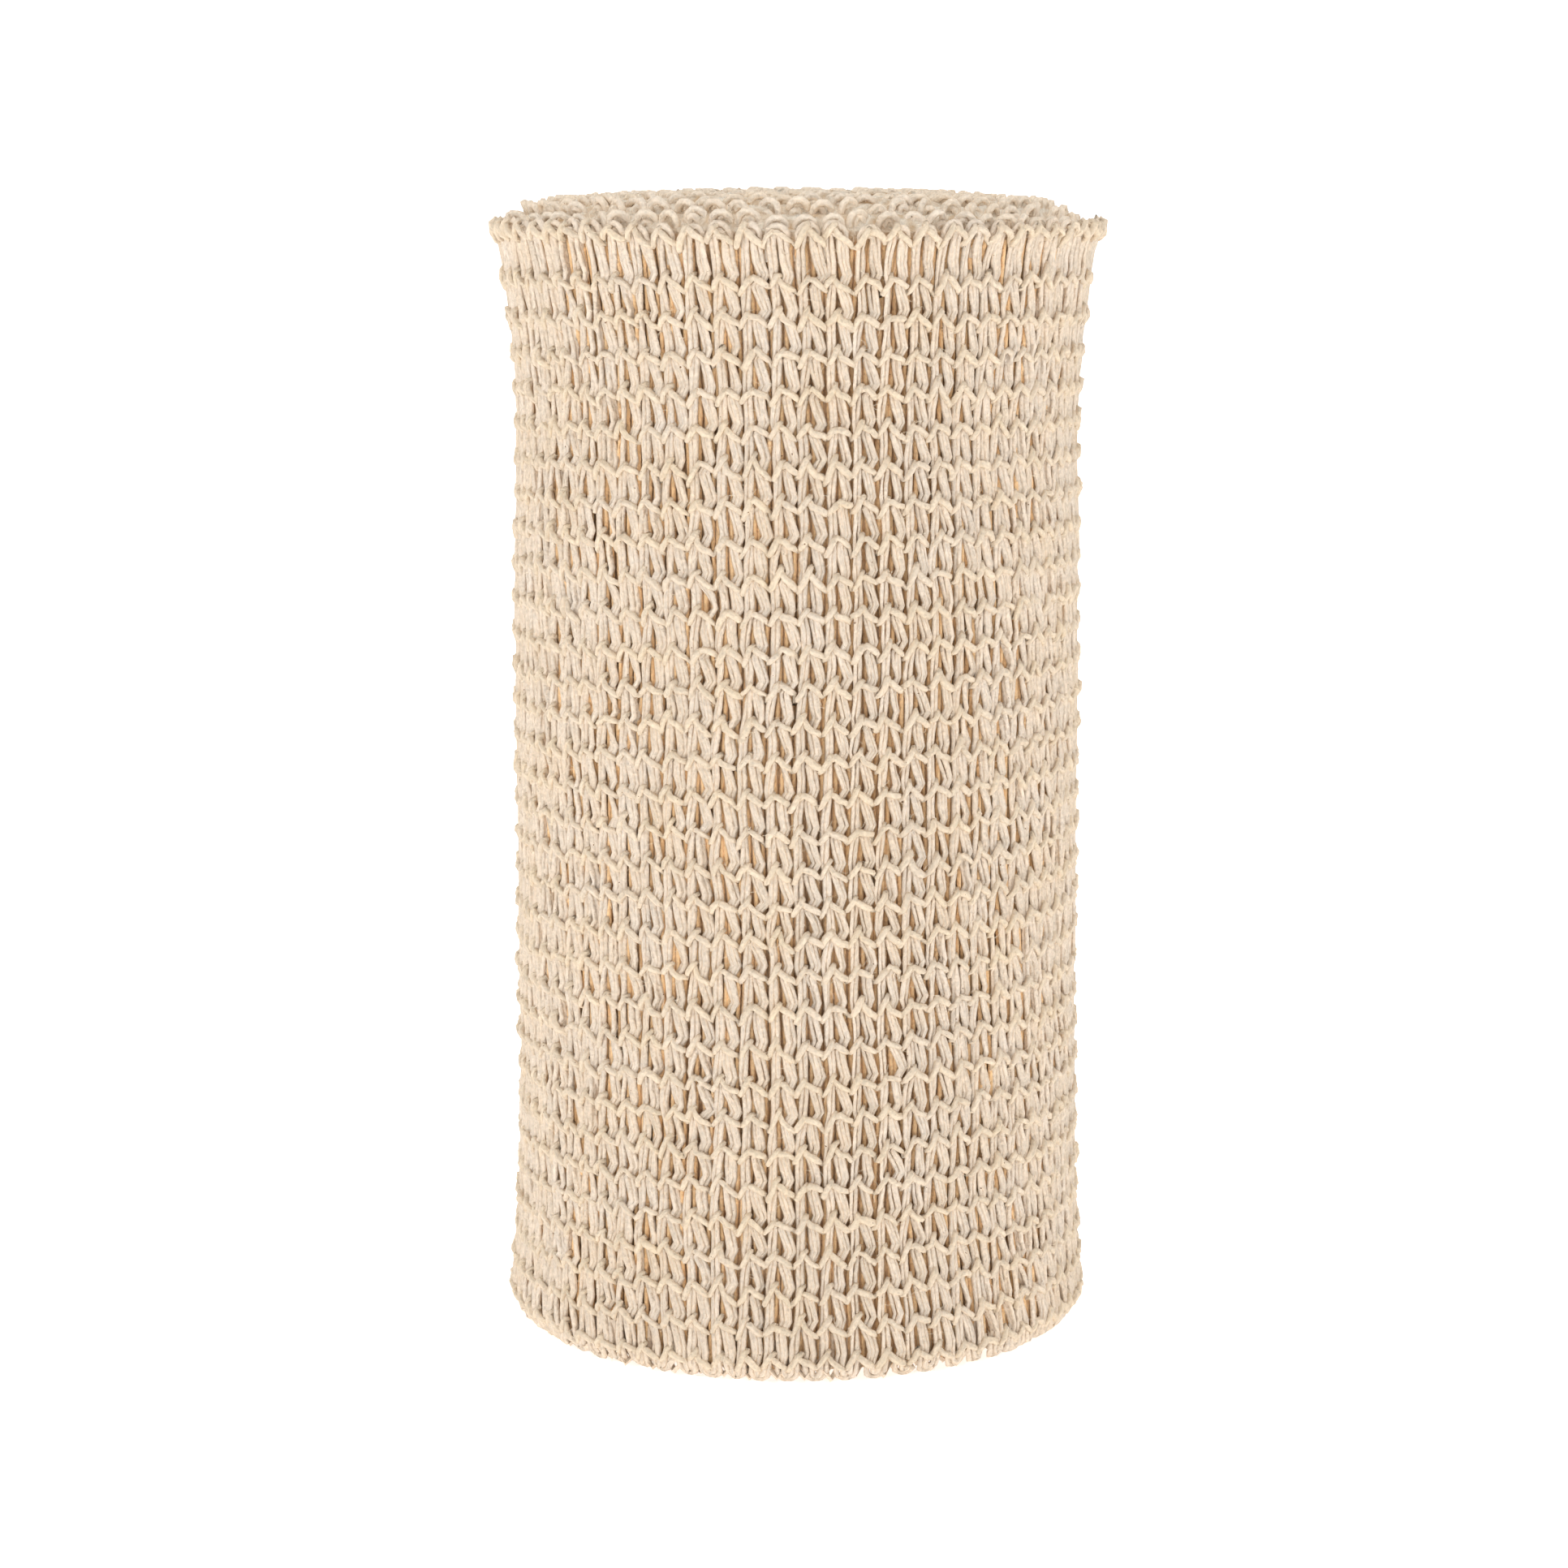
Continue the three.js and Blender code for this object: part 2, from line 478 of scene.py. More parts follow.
def make_piece(
    name: str,
    vertices: np.ndarray,
    corners: np.ndarray,
    counts: np.ndarray,
    maps: dict[str, np.ndarray],
    smooth: bool = True,
) -> bpy.types.Object:
    """Makes a mesh object from arrays.

    Args:
        name: The object's name.
        vertices: Points in millimetres.
        corners: The vertex of each face corner.
        counts: Corners of each face.
        maps: UV maps by name, by face corner.
        smooth: Whether its faces are shaded smoothly.

    Returns:
        The object, linked to the scene.
    """
    mesh = bpy.data.meshes.new(name)
    mesh.vertices.add(len(vertices))
    mesh.vertices.foreach_set("co", (vertices * MM).astype(np.float32).ravel())
    mesh.loops.add(len(corners))
    mesh.loops.foreach_set("vertex_index", corners.astype(np.int32))
    mesh.polygons.add(len(counts))
    mesh.polygons.foreach_set("loop_start", (np.cumsum(counts) - counts).astype(np.int32))
    mesh.polygons.foreach_set("loop_total", counts.astype(np.int32))
    mesh.polygons.foreach_set("use_smooth", np.full(len(counts), smooth))
    for map_name, places in maps.items():
        layer = mesh.uv_layers.new(name=map_name)
        layer.data.foreach_set("uv", places.astype(np.float32).ravel())
    mesh.update(calc_edges=True)
    made = bpy.data.objects.new(name, mesh)
    bpy.context.scene.collection.objects.link(made)
    return made


def dress(piece: bpy.types.Object, material: bpy.types.Material) -> None:
    """Gives a piece its finish and its place on the roll, and reports it.

    Args:
        piece: The piece.
        material: Its finish.
    """
    piece.data.materials.append(material)
    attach(piece, BODY)
    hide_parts(NODE)
    piece.data.calc_loop_triangles()
    LOG.info("%s: %d triangles", piece.name, len(piece.data.loop_triangles))


@dataclass(frozen=True)
class ChainUnevenness:
    """How uneven chain stitches are, as standard deviations but for the means.

    Attributes:
        point_along: Along the chain, for single points.
        stitch_along: Along the chain, for whole stitches.
        swing: How far a stitch's bars swing up or down.
        height_mean: A stitch's mean height, against the even stitch.
        height: How much it changes.
        point_up: Up or down, for single points.
        point_out: In or out, for single points.
        stitch_out_mean: How far stitches stand out in the mean.
        stitch_out: In or out, for whole stitches.
        thickness_mean: The yarn's mean thickness, against the even stitch.
        thickness: How much it changes from stitch to stitch.
        point_thickness: How much it changes from point to point.
    """

    point_along: float = 0.05
    stitch_along: float = 0.11
    swing: float = 0.15
    height_mean: float = 0.95
    height: float = 0.18
    point_up: float = 0.06
    point_out: float = 0.04
    stitch_out_mean: float = -0.04
    stitch_out: float = 0.06
    thickness_mean: float = 0.98
    thickness: float = 0.08
    point_thickness: float = 0.05


class WeftLine(NamedTuple):
    """One column of the weft, point by point: up its left leg, over, down its right leg and under.

    Attributes:
        middle: Where the middle of its pair of yarns lies, as a distance from the column.
        height: The height of that.
        lift: How much half the distance between both yarns adds to it.
        rightness: From 0 on the left leg to 1 on the right one.
        away: Which way is away from the stitch's middle, from -1 for left to 1 for right.
        bent: From 0 on a leg to 1 in the middle of a bend.
    """

    middle: np.ndarray
    height: np.ndarray
    lift: np.ndarray
    rightness: np.ndarray
    away: np.ndarray
    bent: np.ndarray


@dataclass
class OuterTurn:
    """The outer turn, whose yarns all show.

    Attributes:
        winding: The roll's shape.
        left_leg: From a column to the pair of weft yarns under its steep bar.
        right_leg: From a column to the pair under its flat bar.
        left_radius: Radius of a yarn in the left pair.
        right_radius: Radius of a yarn in the right pair.
        bend_radius: Radius of both where they turn back over or under an edge.
        left_spread: Half the distance between the left pair's yarns.
        right_spread: Half the distance between the right pair's yarns.
        bend_spread: Half the distance between both yarns of a bend.
        third_radius: Radius of the third yarn, which runs along the right pair.
        third_outward: How far it stands out of the pair at most.
        third_aside: How far it moves aside at most.
        outward_turns: How often it goes in and out while the pair turns about itself once.
        aside_turns: How often it goes from side to side.
        third_bend: Its last points: height above the arches' foot and share of the way to their crest.
        third_apart: Columns between its random values and the pair's.
        leg_shift: From a chain's height to the nearest points of the legs.
        open_by: How far each leg moves aside between two chains, so that they part from the top down.
        slant: How far both lean to the right from the top down.
        row_cover: The share of the way up to the next row that a chain covers.
        parting_foot: The heights over which the legs begin to part above the base.
        parting_head: The heights over which that ends under the upper edge.
        weft_back: How far the legs lie in from their nominal depth.
        leg_foot: The heights over which a leg's own unevenness comes in above the base.
        leg_head: The heights over which it ends under the upper edge.
        row_steps: Points of a weft yarn from row to row.
        arch_foot: Height where the legs begin to bend over the upper edge.
        arch_rise: From there to the middle of the bend's crest.
        bend_foot: Height where they begin to bend under the lower edge.
        bend_drop: From there down to the middle of the bend.
        bend_steps: Points of a bend.
        fuller: How much thicker the weft is than its radii where the knit is dense.
        thinner: How much thinner it is where the knit lies most open.
        flatness: How round a pair's turning about itself is.
        crest: Heights from the rim over which the upper bends' unevenness comes in.
        foot: The heights over which the lower bends' ends.
        base_wave: How uneven the lower bends are, against the upper ones.
        clearance: From the floor to the lowest yarn.
        apart: Columns between the random values of a pair's two yarns.
        tucked: Columns that go on under the cut end.
        pair_seed: Which random tones a pair's yarns have.
        third_seed: Which ones the third yarns have.
        chain_seed: Which random unevenness the chains have.
        unevenness: How uneven they are.
        stitch_middle: How far along a stitch its steep bar ends and its flatter one begins.
        strip_columns: Stitches to a strip of the bake map.
        sectors: Pieces that the weft is made in.
        bands: Pieces that the chains are made in.
        lean: How far a leg lies aside.
        roll: How far a pair of yarns turns about itself, in radians.
        opening: How much more or less the legs part.
        depth_change: How far a leg lies in or out.
        thickness: How much thicker a yarn is.
        wobble: How far a single yarn lies aside.
        edge_wave: How far a pair's bends lie up or down.
        tousle: How far a single yarn's bends lie up, down, in or out.
    """

    winding: Winding
    left_leg: float = 0.56
    right_leg: float = 1.77
    left_radius: float = 0.225
    right_radius: float = 0.23
    bend_radius: float = 0.33
    left_spread: float = 0.19
    right_spread: float = 0.29
    bend_spread: float = 0.25
    third_radius: float = 0.225
    third_outward: float = 0.12
    third_aside: float = 0.12
    outward_turns: float = 1.7
    aside_turns: float = 2.3
    third_bend: tuple[Knot, ...] = (Knot(at=0.1, value=0.4), Knot(at=0.5, value=1.0))
    third_apart: int = 9
    leg_shift: float = -0.3
    open_by: float = 0.15
    slant: float = 0.12
    row_cover: float = 0.23
    parting_foot: Span = Span(1.3, 4.0)
    parting_head: Span = Span(96.0, 99.0)
    weft_back: float = 0.06
    leg_foot: Span = Span(1.3, 3.0)
    leg_head: Span = Span(97.5, 99.0)
    row_steps: int = 3
    arch_foot: float = 98.75
    arch_rise: float = 0.68
    bend_foot: float = 1.35
    bend_drop: float = 0.80
    bend_steps: int = 7
    fuller: float = 0.05
    thinner: float = 0.07
    flatness: float = 0.8
    crest: Span = Span(-2.0, 1.0)
    foot: Span = Span(0.0, 2.0)
    base_wave: float = 0.3
    clearance: float = 0.02
    apart: int = 40
    tucked: int = 2
    pair_seed: int = 5
    third_seed: int = 9
    chain_seed: int = 30
    unevenness: ChainUnevenness = ChainUnevenness()
    stitch_middle: float = 1.1
    strip_columns: int = 12
    sectors: int = 4
    bands: int = 4
    lean: Wander = Wander(seed=21, columns=0.49, height=3.1, size=0.15)
    roll: Wander = Wander(seed=22, columns=0.49, height=3.4, size=0.75)
    opening: Wander = Wander(seed=26, columns=0.49, height=6.2, size=0.45)
    depth_change: Wander = Wander(seed=23, columns=0.49, height=5.0, size=0.05)
    thickness: Wander = Wander(seed=24, columns=0.24, height=1.0, size=0.034)
    wobble: Wander = Wander(seed=27, columns=0.12, height=1.3, size=0.032)
    edge_wave: Wander = Wander(seed=25, columns=0.9, height=30.0, size=0.13)
    tousle: Wander = Wander(seed=28, columns=0.49, height=30.0, size=0.15)

    @property
    def first_column(self) -> int:
        """The first column, tucked under the cut end."""
        return math.ceil(self.winding.end_column) - self.winding.columns - self.tucked

    @property
    def last_column(self) -> int:
        """The last whole column before the cut end."""
        return math.floor(self.winding.end_column)

    def leg_heights(self) -> np.ndarray:
        """The heights of the points of a weft yarn between the lowest row and the top one."""
        w = self.winding
        steps = np.arange(self.row_steps * (w.rows - 1) + 1) / self.row_steps
        return w.lowest_row + self.leg_shift + w.row_pitch * steps

    def fall(self, height: np.ndarray) -> np.ndarray:
        """Where a height lies between two rows, from -1 under the upper one to 1 over the lower one."""
        w = self.winding
        share = np.mod((height - w.lowest_row) / w.row_pitch - self.row_cover, 1)
        inside = smooth_step(height, *self.parting_foot) * (1 - smooth_step(height, *self.parting_head))
        return np.maximum(1 - self.row_steps * share, -1) * inside

    def pull(self, column: np.ndarray, height: np.ndarray) -> np.ndarray:
        """How far the chains push a column's two legs apart, as a distance for one leg."""
        return self.open_by * self.fall(height) * (1 + self.opening.at(column, height))

    def fullness(self, column: np.ndarray) -> np.ndarray:
        """How much thicker the weft is than its radii."""
        return self.fuller - self.thinner * self.winding.openness(column)

    def weft_line(self) -> WeftLine:
        """Works out an even column of the weft.

        Returns:
            Its points, which are the same for every column.
        """
        leg = self.leg_heights()
        turn = np.linspace(0, math.pi, self.bend_steps + 2)[1:-1]
        swing, bend = np.cos(turn), np.sin(turn)
        low, high = np.zeros(len(leg)), np.ones(len(leg))
        half = (self.right_leg - self.left_leg) / 2
        crest = (self.right_leg + self.left_leg) / 2
        gap = self.winding.column_pitch / 2
        left, right = low + self.left_leg, low + self.right_leg
        over = self.arch_foot + self.arch_rise * bend
        under = self.bend_foot - self.bend_drop * bend
        return WeftLine(
            middle=np.concatenate([left, crest - half * swing, right, crest + gap - (gap - half) * swing]),
            height=np.concatenate([leg, over, leg[::-1], under]),
            lift=np.concatenate([low, bend, low, bend]),
            rightness=np.concatenate([low, (1 - swing) / 2, high, (1 + swing) / 2]),
            away=np.concatenate([-high, -swing, high, swing]),
            bent=np.concatenate([low, bend**0.5, low, bend**0.5]),
        )

    def weft_courses(self, columns: np.ndarray) -> tuple[np.ndarray, np.ndarray, np.ndarray]:
        """Works out both yarns of the weft over a run of columns: up, over, down and under.

        Args:
            columns: Whole columns, in order.

        Returns:
            Courses, radii and tones by yarn and point.
        """
        w, line = self.winding, self.weft_line()
        nominal = columns[:, None] + np.round(line.middle / w.column_pitch, 2)
        bent = line.bent
        courses, radii, tones = [], [], []
        for side in (1, -1):
            spread = self.left_spread + (self.right_spread - self.left_spread) * line.rightness
            spread = side * (spread + (self.bend_spread - spread) * bent)
            height = np.broadcast_to(line.height + spread * line.lift, nominal.shape)
            on_leg = smooth_step(height, *self.leg_foot) * (1 - smooth_step(height, *self.leg_head))
            roll = self.roll.at(nominal, height) * on_leg
            aside = line.away * (spread * np.cos(roll) + self.pull(nominal, height))
            aside = aside + self.lean.at(nominal, height) + self.wobble.at(nominal * side, height)
            aside = aside + self.slant * self.fall(height)
            outward = self.flatness * spread * np.sin(roll)
            outward = outward + (self.depth_change.at(nominal, height) - self.weft_back) * on_leg
            outward = outward + self.tousle.at(nominal + self.apart * side, height) * bent
            wave = self.edge_wave.at(nominal, height) + self.tousle.at(nominal - self.apart * side, height)
            at_top = smooth_step(height, w.rim + self.crest.low, w.rim + self.crest.high)
            at_base = 1 - smooth_step(height, *self.foot)
            height = height + wave * (at_top + self.base_wave * at_base)
            height = np.maximum(height, self.clearance + self.bend_radius)
            points = w.place(columns[:, None] + (line.middle + aside) / w.column_pitch, height, outward)
            courses.append(points.reshape(-1, 3))
            radius = self.left_radius + (self.right_radius - self.left_radius) * line.rightness
            radius = radius + (self.bend_radius - radius) * bent + self.fullness(nominal) * (1 - bent)
            radii.append((radius + self.thickness.at(nominal + side, height)).ravel())
            tone = np.random.default_rng(side + self.pair_seed).normal(0, 1, len(columns))
            tones.append(tone.repeat(len(bent)))
        return np.array(courses), np.array(radii), np.array(tones)

    def third_courses(self, columns: np.ndarray) -> tuple[np.ndarray, np.ndarray, np.ndarray]:
        """Works out the third yarn along each right pair.

        Args:
            columns: Whole columns, in order.

        Returns:
            Courses, radii and tones by yarn and point.
        """
        w = self.winding
        rise, share = np.array(self.third_bend).T
        height = np.append(self.leg_heights(), self.arch_foot + rise)
        inwards = np.append(np.zeros(len(height) - len(share)), share)
        inwards = inwards * (self.right_leg - self.left_leg) / 2
        height = np.broadcast_to(height, (len(columns), len(height)))
        nominal = columns[:, None] + np.round(self.right_leg / w.column_pitch, 2)
        apart = nominal + self.third_apart
        roll = self.roll.at(nominal, height)
        across = self.third_aside * np.sin(self.aside_turns * roll) + self.pull(nominal, height) - inwards
        across = across + self.lean.at(nominal, height) + self.wobble.at(apart, height)
        across = across + self.slant * self.fall(height)
        outward = self.third_outward * np.cos(self.outward_turns * roll)
        outward = outward + self.depth_change.at(nominal, height) - self.weft_back
        points = w.place(columns[:, None] + (self.right_leg + across) / w.column_pitch, height, outward)
        radius = self.third_radius + self.thickness.at(apart, height) + self.fullness(nominal)
        tone = np.random.default_rng(self.third_seed).normal(0, 1, (len(columns), 1))
        return points, radius, np.repeat(tone, height.shape[1], 1)

    def chain_courses(self, rows: np.ndarray, band: int) -> tuple[np.ndarray, np.ndarray, np.ndarray]:
        """Works out chains of stitches round the turn.

        Args:
            rows: Heights of the chains.
            band: Which band they are in, for their unevenness.

        Returns:
            Courses, radii and tones by chain and point.
        """
        w, u = self.winding, self.unevenness
        random = np.random.default_rng(self.chain_seed + band)
        columns = np.arange(self.first_column, self.last_column + 1)
        shape = (len(rows), len(columns), len(CHAIN_STITCH))
        each = shape[:2] + (1,)
        along, up, outward, radius = np.array(CHAIN_STITCH).T
        side = np.sign(along - self.stitch_middle)
        along = along + random.normal(0, u.point_along, shape)
        along = along + random.normal(0, u.stitch_along, each)
        swing = random.normal(0, u.swing, each) * side
        up = up * random.normal(u.height_mean, u.height, each) + swing
        up = up + random.normal(0, u.point_up, shape)
        outward = outward + random.normal(0, u.point_out, shape)
        outward = outward + random.normal(u.stitch_out_mean, u.stitch_out, each)
        outward = outward + w.top_row_out * (rows[:, None, None] > w.rim - w.row_pitch)
        column = columns[:, None] + along / w.column_pitch
        points = w.place(column, rows[:, None, None] + up, outward)
        radius = radius * random.normal(u.thickness_mean, u.thickness, each)
        radius = radius * random.normal(1, u.point_thickness, shape)
        tone = np.repeat(random.normal(0, 1, each), len(CHAIN_STITCH), -1)
        flat = (len(rows), -1)
        return points.reshape(flat + (3,)), radius.reshape(flat), tone.reshape(flat)

    def build_weft(self, material: bpy.types.Material) -> None:
        """Makes the weft, in pieces side by side round the roll."""
        columns = np.arange(self.first_column, self.last_column + 1)
        for number, run in enumerate(np.array_split(columns, self.sectors), 1):
            piece = YarnMesh(f"weft_yarns_{number}", sides=4)
            per_leg = len(self.leg_heights()) + self.bend_steps
            piece.add(*self.weft_courses(run), strip=per_leg)
            piece.add(*self.third_courses(run), strip=per_leg)
            piece.build(material)

    def build_chains(self, material: bpy.types.Material) -> None:
        """Makes the chains of stitches, one for each row, in bands one above the other."""
        rows = self.winding.row_heights()
        for number, band in enumerate(np.array_split(rows, self.bands), 1):
            piece = YarnMesh(f"chain_yarns_{number}", sides=5)
            piece.add(*self.chain_courses(band, number), strip=len(CHAIN_STITCH) * self.strip_columns)
            piece.build(material)

    def face_points(self) -> np.ndarray:
        """Gathers points of the weft and the chains, in one list."""
        weft = self.weft_courses(np.arange(self.first_column, self.last_column + 1))[0]
        chains = self.chain_courses(self.winding.row_heights(), 0)[0]
        return np.concatenate([weft.reshape(-1, 3), chains.reshape(-1, 3)])


@dataclass
class CutEnd:
    """The short tails that the chains and the weft leave along the cut end.

    Attributes:
        winding: The roll's shape.
        count: How many tails.
        seed: Which random places they have.
        lowest: Height of the lowest one.
        margin: From the highest one to the rim.
        floor: The least height of a tip.
        back: How far before the end of the columns they lie, in columns.
        along: Where a tail's points lie from there, in columns.
        shift: The least and the most by which a whole tail lies further on, in columns.
        loose: How loose each point is, from 0 in the cloth to 1 at the tip.
        sag: How far tips lie up or down.
        outward: How far a tail's root stands out.
        pressed: The least and the most by which tips are pressed in.
        radius: A tail's least and greatest radius.
    """

    winding: Winding
    count: int = 130
    seed: int = 38
    lowest: float = 1.0
    margin: float = 0.5
    floor: float = 0.4
    back: float = 0.1
    along: tuple[float, ...] = (-0.5, -0.2, 0.02, 0.18)
    shift: Span = Span(-0.06, 0.1)
    loose: tuple[float, ...] = (0.0, 0.0, 0.4, 1.0)
    sag: float = 0.5
    outward: float = 0.1
    pressed: Span = Span(0.1, 0.7)
    radius: Span = Span(0.14, 0.24)

    def build(self, material: bpy.types.Material) -> None:
        """Makes the tails as one piece."""
        w = self.winding
        random = np.random.default_rng(self.seed)
        each = (self.count, 1)
        height = np.sort(random.uniform(self.lowest, w.rim - self.margin, self.count))[:, None]
        along = np.array(self.along) + random.uniform(*self.shift, each)
        loose = np.array(self.loose)
        bent = height + loose * random.normal(0, self.sag, each)
        outward = self.outward - loose * random.uniform(*self.pressed, each)
        points = w.place(w.end_column - self.back + along, np.maximum(bent, self.floor), outward)
        tone = random.normal(0, 1, each)
        tails = YarnMesh("cut_end", sides=5)
        tails.add(points, random.uniform(*self.radius, each), tone, strip=len(self.along))
        tails.build(material)


@dataclass
class TurnBelow:
    """The turn under the outer one, which shows through the gaps.

    Attributes:
        winding: The roll's shape.
        outer: The outer turn, for its columns.
        offset: Columns by which its stitches are out of step with the outer turn's.
        depth: From the outer turn's weft to this one's where the knit is dense.
        deeper: How much deeper it lies where the knit is most open.
        radius: Radius of a yarn of its weft.
        per_column: Yarns to a column.
        stop: Columns by which it ends before the cut end.
        first_drop: How far below the lowest row its yarns begin.
        top: Height where they end.
        lean: How far a yarn lies aside.
        unevenness: How much a yarn's depth changes.
        thickness_share: How much its thickness does, against that.
        apart: Columns between the random values of both.
    """

    winding: Winding
    outer: OuterTurn
    offset: float = 0.37
    depth: float = 0.46
    deeper: float = 0.3
    radius: float = 0.27
    per_column: int = 4
    stop: float = 0.8
    first_drop: float = 0.6
    top: float = 98.4
    lean: Wander = Wander(seed=41, columns=0.24, height=3.1, size=0.14)
    unevenness: Wander = Wander(seed=42, columns=0.24, height=3.1, size=0.09)
    thickness_share: float = 0.3
    apart: int = 5

    def build(self, material: bpy.types.Material) -> None:
        """Makes its weft as one piece."""
        w = self.winding
        first = self.outer.first_column + self.offset
        columns = np.arange(first, w.end_column - self.stop, 1 / self.per_column)[:, None]
        heights = np.append(w.lowest_row - self.first_drop + w.row_pitch * np.arange(w.rows), self.top)
        column = columns + self.lean.at(columns, heights) / w.column_pitch
        openness = w.openness(columns) * np.ones(len(heights))
        outward = -self.depth - self.deeper * openness
        outward = outward + self.unevenness.at(columns + self.apart, heights)
        radius = self.radius + self.thickness_share * self.unevenness.at(columns, heights)
        weft = YarnMesh("weft_below", sides=4)
        # The knit's openness goes in as the yarns' tone, which sets where the painted shade of the hollows
        # takes over.
        weft.add(w.place(column, heights, outward), radius, openness, strip=len(heights))
        weft.build(material)


class End(Enum):
    """The two ends of the roll."""

    UPPER = "upper"
    LOWER = "lower"


@dataclass
class LoopedEnd:
    """The loops along one edge of the cloth, on all the turns inside the outer one.

    Attributes:
        winding: The roll's shape.
        end: Which end.
        loop_pitch: From one loop to the next along the edge.
        first_turn: Where the loops begin, in turns from the eye.
        half_width: Half the distance between a loop's legs.
        rise: From a loop's feet to its crest.
        leg: Length of the legs below the bend.
        outer_leg: How much longer they are near the outer turn, where they show.
        radius: Radius of one of a loop's two yarns.
        spread: Half the distance between the two yarns.
        outward_lean: How far a loop's crest leans out.
        disorder: How far the loops turn out of line, in radians.
        outer_shift: How far out the loops next to the outer turn lean on it.
        outer_turns: The distances from the axis over which that comes in.
        showing: The distances from the axis over which the longer legs do.
        foot_lean: How far down the legs go on leaning, against the rise, as a number below 0.
        least_radius: The least distance from the axis for which places along the edge are uneven.
        foot_width: How far apart a loop's feet stand, against its bend.
        clearance: From the floor to the lowest yarn.
        loop_out: How far whole loops lie in or out of line.
        loop_along: How far they do along the edge.
        yarn_out: How far single yarns lie in or out.
        yarn_along: How far they do along the edge.
        sunk: How far single yarns are sunk.
        lean_change: How much their lean changes.
        bend_steps: Points of a bend.
        sides: Sides of a yarn's cross-section.
        seed: Which random unevenness.
    """

    winding: Winding
    end: End
    loop_pitch: float = 2.3
    first_turn: float = -1.25
    half_width: float = 0.62
    rise: float = 0.68
    leg: float = 0.9
    outer_leg: float = 1.8
    radius: float = 0.33
    spread: float = 0.24
    outward_lean: float = 0.35
    disorder: float = 0.35
    outer_shift: float = 0.3
    outer_turns: Span = Span(23.5, 24.8)
    showing: Span = Span(23.0, 24.5)
    foot_lean: float = -0.3
    least_radius: float = 2.0
    foot_width: float = 0.9
    clearance: float = 0.05
    loop_out: float = 0.12
    loop_along: float = 0.1
    yarn_out: float = 0.16
    yarn_along: float = 0.12
    sunk: float = 0.2
    lean_change: float = 0.2
    bend_steps: int = 6
    sides: int = 5
    seed: int = 51

    def turns(self) -> np.ndarray:
        """Where each loop stands, in turns from the eye."""
        start = self.winding.edge_radius(np.array(self.first_turn))
        pitch = self.winding.turn_pitch
        last = self.winding.turns - 1 - self.first_turn
        length = 2 * math.pi * (start * last + pitch / 2 * last * last)
        run = np.arange(0, length, self.loop_pitch)
        return self.first_turn + (np.sqrt(start**2 + pitch * run / math.pi) - start) / pitch

    def crest_height(self, radius: np.ndarray) -> np.ndarray:
        """The height of the middle of a loop's bend, by its distance from the axis."""
        if self.end is End.UPPER:
            return smooth_curve(UPPER_END, radius) - self.radius - self.spread
        return np.full_like(radius, self.radius + self.spread + self.clearance)

    def courses(self) -> list[np.ndarray]:
        """Works out the loops, two yarns each, which lie unevenly over each other.

        Returns:
            Courses by loop and point, one array for each of the two yarns.
        """
        random = np.random.default_rng(self.seed)
        turn = self.turns()
        count = len(turn)
        middle = self.winding.edge_radius(turn) + random.normal(0, self.loop_out, count)
        around = random.normal(0, self.loop_along, count) / np.maximum(middle, self.least_radius)
        around = self.winding.edge_angle(turn) + around
        sign = 1.0 if self.end is End.UPPER else -1.0
        bend = np.linspace(0, math.pi, self.bend_steps)
        made = []
        for side in (1, -1):
            spread = side * self.spread
            radius = middle + random.normal(0, self.yarn_out, count)
            radius = radius + self.outer_shift * smooth_step(middle, *self.outer_turns)
            angle = random.normal(0, self.yarn_along, count) / np.maximum(radius, self.least_radius)
            angle = around + angle
            outward = np.stack([np.cos(angle), np.sin(angle), 0 * angle], -1)
            twist = angle + random.normal(0, self.disorder, count)
            aside = np.stack([-np.sin(twist), np.cos(twist), 0 * angle], -1)
            sunk = np.abs(random.normal(0, self.sunk, count))
            crest = self.crest_height(np.abs(radius)) - sign * sunk
            lean = (self.outward_lean + random.normal(0, self.lean_change, count))[:, None, None]
            across = np.concatenate([[-self.foot_width], -np.cos(bend), [self.foot_width]])
            across = across * (self.half_width + spread)
            drop = np.tile(self.rise - (self.rise + spread) * np.sin(bend), (count, 1))
            foot = (self.rise + self.leg + self.outer_leg * smooth_step(radius, *self.showing))[:, None]
            drop = np.concatenate([foot, drop, foot], 1)
            reach = radius[:, None, None] + lean * np.maximum(1 - drop, self.foot_lean)[:, :, None]
            points = reach * outward[:, None] + aside[:, None] * across[:, None]
            points[:, :, 2] = np.maximum(crest[:, None] - sign * drop, self.radius + self.clearance)
            made.append(points)
        return made

    def build(self, material: bpy.types.Material) -> None:
        """Makes the loops as one piece."""
        random = np.random.default_rng(self.seed + 1)
        loops = YarnMesh(f"{self.end.value}_loops", sides=self.sides)
        for points in self.courses():
            tone = np.repeat(random.normal(0, 1, (len(points), 1)), points.shape[1], 1)
            loops.add(points, np.array(self.radius), tone, strip=points.shape[1])
        loops.build(material)


